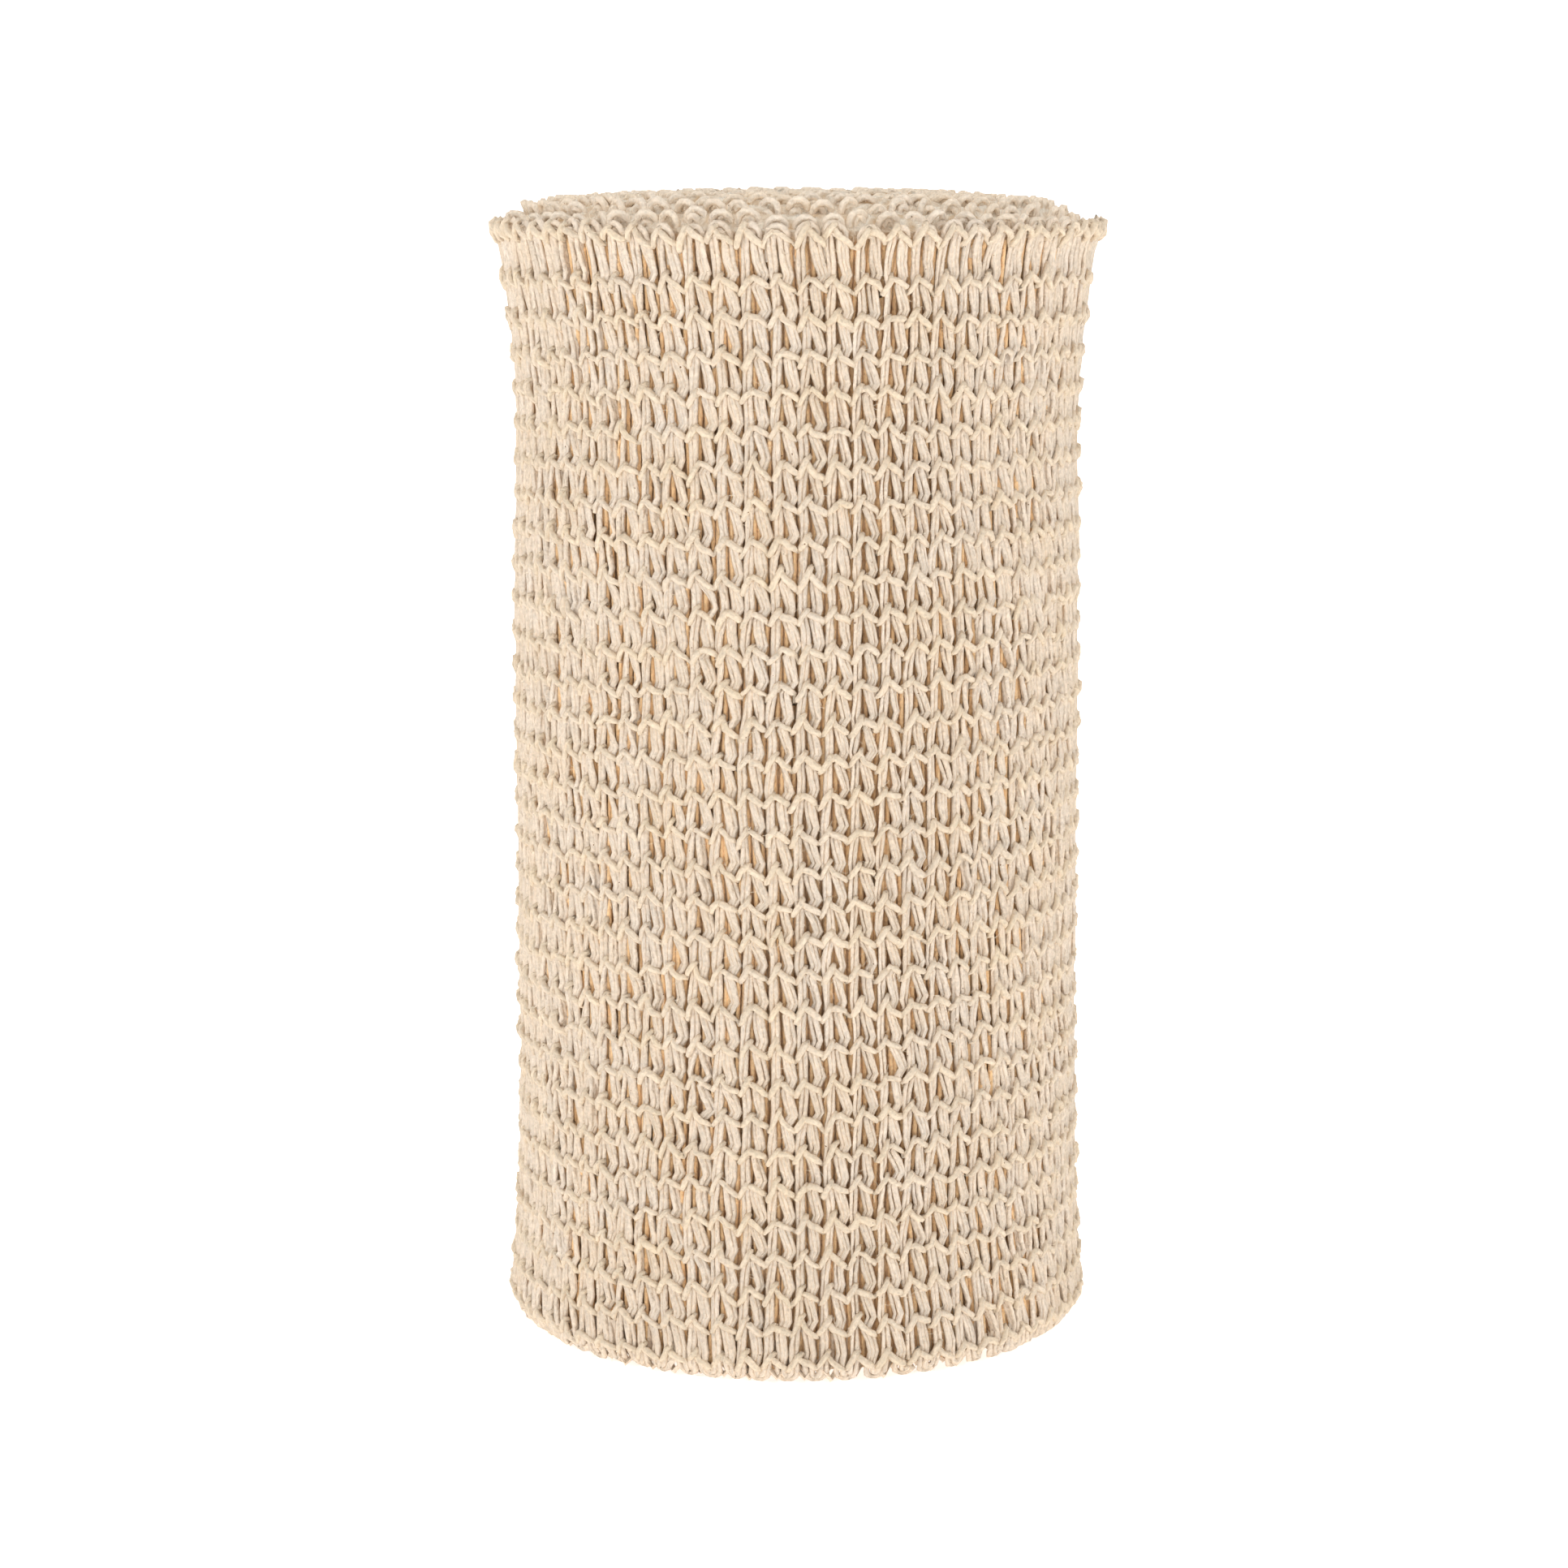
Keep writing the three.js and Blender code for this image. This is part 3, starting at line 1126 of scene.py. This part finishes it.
@dataclass
class InnerBody:
    """The turns further in as one closed surface, which shows behind the yarns and on the upper end.

    Attributes:
        winding: The roll's shape.
        depth: How far its wall lies in from the middle of the outer turn's weft.
        brim: How much further out its wall stands at the top, where it fills the turns' edges.
        brim_span: The heights over which that comes in.
        tuck: How far its wall draws in at the cut end.
        base: Height of its underside.
        shoulder: Height where its wall ends.
        sink: How far its upper end lies below the loops' crests.
        outer_sink: How much further it does near the rim.
        outer_span: The distances from the axis over which that comes in.
        groove: Depth of the groove between two turns' edges.
        lump: Standard deviation of its lumps' height.
        lumpy: The distances from the axis over which they come in.
        eye: Radius of its innermost rings, against its wall's.
        tuck_deg: Over what angle it draws in at the cut end.
        map_width: Width that the bake map shows of its ends.
        around: Faces round it.
        up: Faces up its wall.
        end_rings: Rings of its upper end.
        seed: Which random lumps.
    """

    winding: Winding
    depth: float = 0.9
    brim: float = 0.3
    brim_span: Span = Span(97.0, 99.0)
    tuck: float = 0.8
    base: float = 1.1
    shoulder: float = 99.2
    sink: float = 0.5
    outer_sink: float = 0.35
    outer_span: Span = Span(21.0, 24.0)
    groove: float = 0.5
    lump: float = 0.12
    lumpy: Span = Span(0.0, 5.0)
    eye: float = 0.01
    tuck_deg: float = 10.0
    map_width: float = 200.0
    around: int = 150
    up: int = 48
    end_rings: int = 84
    seed: int = 71

    def upper_end(self, radius: np.ndarray, angle: np.ndarray) -> np.ndarray:
        """The height of its upper end, with the groove that winds between the turns."""
        w = self.winding
        turned = (angle - math.radians(w.end_deg)) / (2 * math.pi)
        phase = (radius - w.edge_radius(np.array(0.0))) / w.turn_pitch - turned
        sink = self.sink + self.outer_sink * smooth_step(radius, *self.outer_span)
        groove = self.groove * (0.5 - 0.5 * np.cos(2 * math.pi * phase))
        return smooth_curve(UPPER_END, radius) - sink - groove

    def rings(self) -> np.ndarray:
        """Works out its points: its underside's middle, up its wall and inwards over its upper end.

        Returns:
            Points by ring and place round it, the last of a ring where its first one is.
        """
        w = self.winding
        random = np.random.default_rng(self.seed)
        share = np.arange(self.around + 1) / self.around
        angle = math.radians(w.end_deg) - 2 * math.pi * (1 - share)
        heights = np.linspace(self.base, self.shoulder, self.up)
        wall = smooth_curve(WALL, heights) - w.weft_depth - self.depth
        wall = wall + (w.edge_lean + self.brim) * smooth_step(heights, *self.brim_span)
        inwards = np.linspace(self.eye, 1, self.end_rings)[::-1]
        radius = np.concatenate([[self.eye * wall[0]], wall, wall[-1] * inwards])[:, None]
        reach = radius + w.growth(angle) * np.minimum(1, radius / wall.min())
        below = np.broadcast_to(np.append(self.base, heights)[:, None], (self.up + 1, len(angle)))
        end = math.radians(w.end_deg)
        reach[1 : self.up + 1] -= self.tuck * smooth_step(angle, end - math.radians(self.tuck_deg), end)
        dome = self.upper_end(reach[self.up + 1 :], angle)
        lumps = random.normal(0, self.lump, dome.shape)
        lumps = lumps * smooth_step(radius[self.up + 1 :], *self.lumpy)
        lumps[:, -1] = lumps[:, 0]
        height = np.concatenate([below, dome + lumps])
        return np.stack([reach * np.cos(angle), reach * np.sin(angle), height], -1)

    def build(self, material: bpy.types.Material) -> None:
        """Makes the body as one closed mesh."""
        points = self.rings()
        rings, columns = points.shape[:2]
        k, q = np.meshgrid(np.arange(rings - 1), np.arange(columns), indexing="ij")
        after = (q + 1) % columns
        ring = np.stack([k, k, k + 1, k + 1], -1)
        quads = ring * columns + np.stack([q, after, after, q], -1)
        share = np.stack([q, q + 1, q + 1, q], -1) / columns
        around = np.arange(columns)
        caps = np.concatenate([around[::-1], (rings - 1) * columns + around])
        corners = np.concatenate([quads.ravel(), caps])
        counts = np.concatenate([np.full(quads.size // 4, 4), [columns] * 2])
        wall_map = np.stack([share, ring / rings], -1).reshape(-1, 2)
        cap_map = np.concatenate([points[0, ::-1, :2], points[-1, :, :2]]) / self.map_width + 0.5
        maps = {BAKE_MAP: np.concatenate([wall_map, cap_map])}
        dress(make_piece("inner_turns", points.reshape(-1, 3), corners, counts, maps), material)


@dataclass
class StrayFibres:
    """Fine cotton fibres that stand off the yarns.

    Attributes:
        name: The piece's name.
        count: How many.
        radius: A fibre's radius.
        step: From one bend of a fibre to the next.
        stretch: How much longer or shorter than that single stretches are.
        bends: How many straight stretches a fibre has.
        stand_off: How far from its root it starts.
        stray: How strongly its direction changes at a bend.
        lift: How strongly it starts outwards.
        dome: The heights over which outwards comes to mean upwards.
        upturn: How far it does.
        fall: How strongly it bends back.
        seed: Which random fibres.
    """

    name: str = "curled_fibres"
    count: int = 9800
    radius: float = 0.016
    step: float = 0.3
    stretch: float = 0.4
    bends: int = 3
    stand_off: float = 0.14
    stray: float = 0.4
    lift: float = 0.7
    dome: Span = Span(99.5, 101.5)
    upturn: float = 0.8
    fall: float = 0.6
    seed: int = 61

    def build(self, roots: np.ndarray, material: bpy.types.Material) -> None:
        """Makes the fibres as one piece.

        Args:
            roots: Points on the yarns that they may start from.
            material: Their finish.
        """
        random = np.random.default_rng(self.seed)
        start = roots[random.integers(0, len(roots), self.count)]
        upward = smooth_step(start[:, 2:], *self.dome) * (0, 0, 1)
        outward = unit(unit(start * (1, 1, 0)) * (1 - self.upturn * upward[:, 2:]) + upward)
        heading = unit(unit(random.normal(0, 1, start.shape)) + self.lift * outward)
        courses = [start + self.stand_off * outward]
        lowest = np.array([-np.inf, -np.inf, 2 * self.radius])
        for _ in range(self.bends):
            length = self.step * random.uniform(1 - self.stretch, 1 + self.stretch, (len(start), 1))
            courses.append(courses[-1] + heading * length)
            turned = random.normal(0, self.stray, start.shape)
            heading = unit(heading + turned - self.fall * outward)
        points = np.maximum(np.stack(courses, 1), lowest)
        tone = np.repeat(random.normal(0, 1, (len(start), 1)), self.bends + 1, 1)
        piece = YarnMesh(self.name, sides=3)
        piece.add(points, np.array(self.radius), tone, strip=self.bends + 1)
        piece.build(material)


class Value:
    """A shader socket that carries numbers, for maths written as expressions."""

    def __init__(self, shader: "Nodes", socket: bpy.types.NodeSocket) -> None:
        """Wraps a socket of a node tree."""
        self.shader = shader
        self.socket = socket

    def _math(self, operation: str, *values: "Value | float") -> "Value":
        """Adds a Math node for an operation on values."""
        inputs = dict(enumerate(values))
        return Value(self.shader, self.shader.node("ShaderNodeMath", {"operation": operation}, inputs)[0])

    def __add__(self, other: "Value | float") -> "Value":
        """Adds."""
        return self._math("ADD", self, other)

    __radd__ = __add__

    def __sub__(self, other: "Value | float") -> "Value":
        """Subtracts."""
        return self._math("SUBTRACT", self, other)

    def __rsub__(self, other: "Value | float") -> "Value":
        """Subtracts from a number."""
        return self._math("SUBTRACT", other, self)

    def __mul__(self, other: "Value | float") -> "Value":
        """Multiplies."""
        return self._math("MULTIPLY", self, other)

    __rmul__ = __mul__

    def sine(self) -> "Value":
        """The sine of an angle in radians."""
        return self._math("SINE", self)

    def above(self, low: float, high: float) -> "Value":
        """Rises from 0 at low to 1 at high."""
        inputs = {"Value": self, "From Min": low, "From Max": high}
        return Value(self.shader, self.shader.node("ShaderNodeMapRange", {"clamp": True}, inputs)[0])


class Nodes:
    """A node tree under construction."""

    def __init__(self, tree: bpy.types.NodeTree) -> None:
        """Starts on a node tree."""
        self.tree = tree

    def node(
        self, kind: str, settings: dict[str, object], inputs: dict[str | int, object]
    ) -> bpy.types.NodeOutputs:
        """Adds a node.

        Args:
            kind: The node's type.
            settings: Properties, set before its inputs.
            inputs: Values or links by input name or number.

        Returns:
            The node's outputs.
        """
        made = self.tree.nodes.new(kind)
        for key, value in settings.items():
            setattr(made, key, value)
        for key, value in inputs.items():
            self.feed(made.inputs[key], value)
        return made.outputs

    def feed(self, socket: bpy.types.NodeSocket, value: object) -> None:
        """Links a value or a socket to a socket, or sets it to a constant."""
        if isinstance(value, Value):
            value = value.socket
        if isinstance(value, bpy.types.NodeSocket):
            self.tree.links.new(value, socket)
        else:
            socket.default_value = value

    def attribute(self, name: str) -> Value:
        """Reads a number kept on the mesh."""
        return Value(self, self.node("ShaderNodeAttribute", {"attribute_name": name}, {})["Fac"])

    def noise(self, vector: bpy.types.NodeSocket, scale: float, detail: float = 2.0) -> Value:
        """Reads soft noise, about 0.5, at a place."""
        inputs = {"Vector": vector, "Scale": scale, "Detail": detail}
        return Value(self, self.node("ShaderNodeTexNoise", {}, inputs)["Fac"])

    def mix(self, factor: Value, first: object, second: object) -> bpy.types.NodeSocket:
        """Mixes two colours."""
        inputs = {0: factor, 6: first, 7: second}
        settings = {"data_type": "RGBA", "blend_type": "MIX", "clamp_factor": True}
        return self.node("ShaderNodeMix", settings, inputs)[2]

    def scaled(self, colour: object, factor: object) -> bpy.types.NodeSocket:
        """Makes a colour or a vector lighter or darker, or longer or shorter."""
        return self.node("ShaderNodeVectorMath", {"operation": "SCALE"}, {0: colour, "Scale": factor})[0]


class Shader(Nodes):
    """A material under construction."""

    def __init__(self, name: str) -> None:
        """Starts a material with its principled shader."""
        self.material = bpy.data.materials.new(name)
        self.material.use_nodes = True
        super().__init__(self.material.node_tree)
        self.surface = self.tree.nodes["Principled BSDF"]

    def colour(self, value: object) -> None:
        """Sets or links the surface's colour."""
        self.feed(self.surface.inputs["Base Color"], value)

    def bump(self, height: Value, distance: float) -> None:
        """Raises the surface by a height times a distance in metres."""
        inputs = {"Height": height, "Distance": distance, "Strength": 1.0}
        bump = self.node("ShaderNodeBump", {}, inputs)
        self.feed(self.surface.inputs["Normal"], bump[0])

    def constants(self, values: dict[str, float | tuple]) -> None:
        """Sets sockets of the surface that stay the same all over."""
        for name, value in values.items():
            self.surface.inputs[name].default_value = value


Colour = tuple[float, float, float, float]


def srgb(red: int, green: int, blue: int) -> Colour:
    """Turns a screen colour into a linear one."""
    shares = [part / 255 for part in (red, green, blue)]
    linear = [share / 12.92 if share < 0.0405 else ((share + 0.055) / 1.055) ** 2.4 for share in shares]
    return (*linear, 1.0)


@dataclass(frozen=True)
class CottonFinish:
    """Undyed cotton yarn.

    Attributes:
        name: The material's name.
        pale: The lighter of its two colours.
        warm: The warmer one.
        patch_scale: How fine the patches of the warmer colour are.
        patch_contrast: How sharply they part from the paler ones.
        tone_share: How much lighter or darker single yarns are.
        ply_pitch: Millimetres in which the yarn's plies go once round.
        ply_height: Height of the plies, in metres.
        fleck: Colour of the bits of seed husk.
        fleck_scale: How fine they are.
        flecked: Between which noise it takes over.
        streak_stretch: How fine the streaks between the plies are, round a yarn and along it.
        crease_shade: Painted shade colour of these streaks, where the plies meet and little light reaches.
        crease_shade_share: How far that painted shade takes over there.
        creased: Between which noise it takes over.
        hollow_shade: Painted shade colour of the hollows that hardly any light reaches.
        hollow_share: How far that painted shade takes over where the knit lies most open.
        hollow_scale: How fine the hollows are.
        hollowed: Between which noise it takes over.
        fuzz_scale: How fine the yarn's fuzz is.
        fuzz_share: How much lighter or darker the fuzz makes it.
        ply_relief: The plies' share in the bump, by their height.
        streak_relief: The streaks' share in it.
        fuzz_relief: The fuzz's share in it.
        roughness: How dull it is.
        sheen: How strongly its fuzz catches light from aside.
        sheen_tint: The colour of that light.
        shine: How strongly it reflects.
    """

    name: str
    pale: Colour = srgb(231, 219, 205)
    warm: Colour = srgb(232, 212, 187)
    patch_scale: float = 240.0
    patch_contrast: float = 1.4
    tone_share: float = 0.025
    ply_pitch: float = 1.3
    ply_height: float = 0.00004
    fleck: Colour = srgb(120, 84, 52)
    fleck_scale: float = 3400.0
    flecked: Span = Span(0.87, 0.89)
    streak_stretch: tuple[float, float, float] = (6.0, 1.1, 1.0)
    crease_shade: Colour = srgb(210, 152, 98)
    crease_shade_share: float = 0.15
    creased: Span = Span(0.52, 0.20)
    hollow_shade: Colour = srgb(144, 86, 44)
    hollow_share: float = 0.0
    hollow_scale: float = 420.0
    hollowed: Span = Span(0.52, 0.64)
    fuzz_scale: float = 2900.0
    fuzz_share: float = 0.7
    ply_relief: float = 0.4
    streak_relief: float = 1.6
    fuzz_relief: float = 5.5
    roughness: float = 0.9
    sheen: float = 0.7
    sheen_tint: Colour = srgb(255, 232, 204)
    shine: float = 0.2

    def material(self) -> bpy.types.Material:
        """Makes the material."""
        s = Shader(self.name)
        place = s.node("ShaderNodeTexCoord", {}, {})["Object"]
        run = s.node("ShaderNodeUVMap", {"uv_map": YARN_MAP}, {})["UV"]
        parts = s.node("ShaderNodeSeparateXYZ", {}, {0: run})
        around, along = Value(s, parts[0]), Value(s, parts[1])
        multiply = {"operation": "MULTIPLY"}
        stretched = s.node("ShaderNodeVectorMath", multiply, {0: run, 1: self.streak_stretch})[0]
        streak = s.noise(stretched, 1.0)
        fuzz = s.noise(place, self.fuzz_scale, 4.0)
        warmth = (s.noise(place, self.patch_scale) - 0.5) * self.patch_contrast + 0.5
        colour = s.mix(warmth, self.pale, self.warm)
        light = 1 + s.attribute(TONE) * self.tone_share + (fuzz - 0.5) * self.fuzz_share
        # Painted shade: the streaks between the plies are darkened and warmed where light hardly reaches.
        colour = s.mix(streak.above(*self.creased) * self.crease_shade_share, colour, self.crease_shade)
        # Painted shade in the hollows, set by the yarns' tone, which on the turn below is how open the
        # knit lies.
        if self.hollow_share:
            share = s.attribute(TONE) * self.hollow_share
            hollow_shade = s.noise(place, self.hollow_scale).above(*self.hollowed)
            colour = s.mix(hollow_shade * share, colour, self.hollow_shade)
        husk = s.noise(place, self.fleck_scale, 0.0).above(*self.flecked)
        s.colour(s.mix(husk, s.scaled(colour, light), self.fleck))
        ply = (around * (4 * math.pi) + along * (2 * math.pi / self.ply_pitch)).sine()
        relief = ply * self.ply_relief + streak * self.streak_relief + fuzz * self.fuzz_relief
        s.bump(relief, self.ply_height)
        s.constants({"Roughness": self.roughness, "Sheen Weight": self.sheen})
        s.constants({"Sheen Tint": self.sheen_tint, "Specular IOR Level": self.shine})
        return s.material


# The weft is coloured lighter than the chains: painted light that makes up for the shade the chains and
# neighbours cast on it. The chains' yellower tint is their own.
WEFT_COTTON = CottonFinish("weft_cotton")
CHAIN_COTTON = CottonFinish(
    "chain_cotton", pale=srgb(224, 209, 191), warm=srgb(225, 206, 177), ply_pitch=1.6
)
# The turn below: the same cotton coloured warmer and more saturated, painted shade and bounce light for
# the gaps it shows through.
BELOW_COTTON = CottonFinish(
    "cotton_below", pale=srgb(252, 216, 170), warm=srgb(248, 204, 150), hollow_share=0.36
)
# The upper end's loops: the same cotton a little paler, painted light for the lit top.
EDGE_COTTON = CottonFinish("edge_cotton", pale=srgb(238, 226, 211), warm=srgb(238, 221, 197))


@dataclass(frozen=True)
class FibreFinish:
    """Single cotton fibres, paler than the yarns: painted light for the light they catch.

    Attributes:
        name: The material's name.
        pale: Their lighter colour.
        warm: Their warmer colour.
        patch_scale: How fine the patches of both are.
        roughness: How dull they are.
    """

    name: str
    pale: Colour = srgb(244, 232, 214)
    warm: Colour = srgb(242, 224, 196)
    patch_scale: float = 300.0
    roughness: float = 0.8

    def material(self) -> bpy.types.Material:
        """Makes the material."""
        s = Shader(self.name)
        place = s.node("ShaderNodeTexCoord", {}, {})["Object"]
        s.colour(s.mix(s.noise(place, self.patch_scale), self.pale, self.warm))
        s.constants({"Roughness": self.roughness})
        return s.material


@dataclass(frozen=True)
class ShadeFinish:
    """The cotton of the turns further in: on the wall darker and warmer, painted shade for the gaps it
    shows through, and pale on the upper end.

    Attributes:
        name: The material's name.
        light: Its lighter colour on the wall, which is painted shade.
        dark: Its darker colour on the wall, also painted shade.
        top_light: The lighter colour of the upper end.
        top_dark: The darker one.
        top: The height where the upper end's colours begin and the wall's painted shade ends, in metres.
        blend: Over what height they take over.
        grain_scale: How coarse its grain is.
        wall_grain: Between which noise the wall goes from dark to light.
        top_grain: Between which noise the upper end does.
        fine_scale: How fine the finer grain is, which is bump only.
        fine_share: How high that is, against the coarser grain.
        detail: How many sizes both have.
        grit: Height of the grain, in metres.
        roughness: How dull it is.
    """

    name: str
    light: Colour = srgb(246, 212, 168)
    dark: Colour = srgb(220, 174, 126)
    top_light: Colour = srgb(232, 220, 202)
    top_dark: Colour = srgb(204, 174, 138)
    top: float = 0.0982
    blend: float = 0.0014
    grain_scale: float = 900.0
    wall_grain: Span = Span(0.3, 0.7)
    top_grain: Span = Span(0.3, 0.6)
    fine_scale: float = 3200.0
    fine_share: float = 0.6
    detail: float = 3.0
    grit: float = 0.00045
    roughness: float = 0.95

    def material(self) -> bpy.types.Material:
        """Makes the material."""
        s = Shader(self.name)
        place = s.node("ShaderNodeTexCoord", {}, {})["Object"]
        grain = s.noise(place, self.grain_scale, self.detail)
        height = Value(s, s.node("ShaderNodeSeparateXYZ", {}, {0: place})[2])
        wall = s.mix(grain.above(*self.wall_grain), self.dark, self.light)
        upper = s.mix(grain.above(*self.top_grain), self.top_dark, self.top_light)
        # Painted shade: the wall is darker and warmer below this height, and the upper end is pale above
        # it.
        s.colour(s.mix(height.above(self.top, self.top + self.blend), wall, upper))
        s.bump(grain + s.noise(place, self.fine_scale, self.detail) * self.fine_share, self.grit)
        s.constants({"Roughness": self.roughness})
        return s.material


class Softbox(NamedTuple):
    """A square area light: its place and side in metres and its power in watts."""

    name: str
    x: float
    y: float
    z: float
    size: float
    power: float


SOFTBOXES = (
    Softbox("softbox_front", x=-0.3, y=-1.3, z=0.14, size=0.9, power=3.5),
    Softbox("softbox_left", x=-0.9, y=-0.5, z=0.4, size=0.8, power=1.6),
    Softbox("softbox_right", x=0.9, y=-0.5, z=0.4, size=0.8, power=1.6),
    Softbox("softbox_top", x=0.0, y=-0.25, z=1.2, size=1.0, power=6.8),
)


@dataclass(frozen=True)
class Studio:
    """A pale sweep, soft lights and the camera at the photograph's viewing angle.

    Attributes:
        camera_at: The camera's place in metres.
        camera_pitch_deg: How far it looks down.
        lens_mm: Focal length.
        sensor_mm: Width of the sensor.
        clip: The nearest and the furthest that it sees, in metres.
        sweep_front: How far the floor comes forward, in metres.
        sweep_back: Where it turns up.
        sweep_width: Half its width.
        sweep_bend: Radius of the bend.
        sweep_height: Height of the backdrop.
        sweep_steps: Points of the bend.
        sweep_colour: The colour of both.
        sweep_roughness: How dull they are.
        sweep_glow: How strongly they glow.
        horizon: The share of the way up to overhead below which the surround is brightest.
        zenith: The share above which it has its overhead strength.
        overhead: That strength, against 1 at the horizon.
        lit_height: The height that the lights face.
    """

    camera_at: tuple[float, float, float] = (-0.00085, -0.30964, 0.09567)
    camera_pitch_deg: float = 8.555
    lens_mm: float = 77.52
    sensor_mm: float = 36.0
    clip: Span = Span(0.01, 20.0)
    sweep_front: float = 1.2
    sweep_back: float = 0.9
    sweep_width: float = 2.5
    sweep_bend: float = 0.5
    sweep_height: float = 2.5
    sweep_steps: int = 13
    sweep_colour: Colour = (0.92, 0.92, 0.92, 1.0)
    sweep_roughness: float = 0.9
    sweep_glow: float = 0.66
    horizon: float = 0.08
    zenith: float = 0.28
    overhead: float = 0.33
    lit_height: float = 0.05

    def build_sweep(self) -> None:
        """Makes the floor, which curves up into a backdrop."""
        bend = np.linspace(0, math.pi / 2, self.sweep_steps)
        y = np.concatenate([[-self.sweep_front], self.sweep_back + self.sweep_bend * np.sin(bend)])
        z = np.concatenate([[0.0], self.sweep_bend * (1 - np.cos(bend))])
        y, z = np.append(y, y[-1]), np.append(z, self.sweep_height)
        left = np.stack([np.full(len(y), -self.sweep_width), y, z], -1)
        right = left * (-1, 1, 1)
        points = np.concatenate([left, right]) / MM
        k = np.arange(len(y) - 1)
        quads = np.stack([k, k + len(y), k + len(y) + 1, k + 1], -1)
        sweep = make_piece("studio_sweep", points, quads.ravel(), np.full(len(k), 4), {})
        shader = Shader("studio_white")
        shader.constants({"Base Color": self.sweep_colour, "Roughness": self.sweep_roughness})
        shader.constants({"Emission Color": WHITE, "Emission Strength": self.sweep_glow})
        sweep.data.materials.append(shader.material)

    def add_softbox(self, box: Softbox) -> None:
        """Adds a square area light that faces the roll."""
        data = bpy.data.lights.new(box.name, "AREA")
        data.size, data.energy = box.size, box.power
        lamp = bpy.data.objects.new(box.name, data)
        bpy.context.scene.collection.objects.link(lamp)
        lamp.location = (box.x, box.y, box.z)
        tilt = math.atan2(math.hypot(box.x, box.y), box.z - self.lit_height)
        lamp.rotation_euler = (tilt, 0, math.atan2(box.y, box.x) + math.pi / 2)

    def build_lights(self) -> None:
        """Sets the soft surround and the lights."""
        world = bpy.data.worlds.new("studio_surround")
        world.use_nodes = True
        sky = Nodes(world.node_tree)
        way = sky.node("ShaderNodeTexCoord", {}, {})["Generated"]
        height = sky.node("ShaderNodeSeparateXYZ", {}, {0: way})[2]
        inputs = {"Value": height, "From Min": self.horizon, "From Max": self.zenith}
        inputs |= {"To Min": 1.0, "To Max": self.overhead}
        background = sky.tree.nodes["Background"].inputs
        sky.feed(background["Strength"], sky.node("ShaderNodeMapRange", {}, inputs)[0])
        sky.feed(background["Color"], WHITE)
        bpy.context.scene.world = world
        for box in SOFTBOXES:
            self.add_softbox(box)

    def build_camera(self) -> None:
        """Sets the camera."""
        data = bpy.data.cameras.new("camera")
        data.lens = self.lens_mm
        data.sensor_width = self.sensor_mm
        data.sensor_fit = "HORIZONTAL"
        data.clip_start, data.clip_end = self.clip
        camera = bpy.data.objects.new("camera", data)
        bpy.context.scene.collection.objects.link(camera)
        camera.location = self.camera_at
        camera.rotation_euler = (math.radians(90 - self.camera_pitch_deg), 0, 0)
        bpy.context.scene.camera = camera

    def build(self) -> None:
        """Makes the whole studio."""
        self.build_camera()
        self.build_sweep()
        self.build_lights()
        bpy.context.scene.view_settings.view_transform = "Standard"


def main() -> None:
    """Loads the frame and builds the studio and the roll."""
    logging.basicConfig(level=logging.INFO, format="%(name)s: %(message)s")
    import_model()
    Studio().build()
    winding = Winding()
    weft_cotton = WEFT_COTTON.material()
    chain_cotton = CHAIN_COTTON.material()
    below_cotton = BELOW_COTTON.material()
    edge_cotton = EDGE_COTTON.material()
    outer = OuterTurn(winding)
    outer.build_weft(weft_cotton)
    outer.build_chains(chain_cotton)
    CutEnd(winding).build(weft_cotton)
    TurnBelow(winding, outer).build(below_cotton)
    upper = LoopedEnd(winding, End.UPPER)
    upper.build(edge_cotton)
    LoopedEnd(winding, End.LOWER, bend_steps=3, sides=3).build(weft_cotton)
    InnerBody(winding).build(ShadeFinish("inner_cotton").material())
    roots = np.concatenate([outer.face_points()] + [points.reshape(-1, 3) for points in upper.courses()])
    StrayFibres().build(roots, FibreFinish("fibre_cotton").material())


if __name__ == "__main__":
    main()
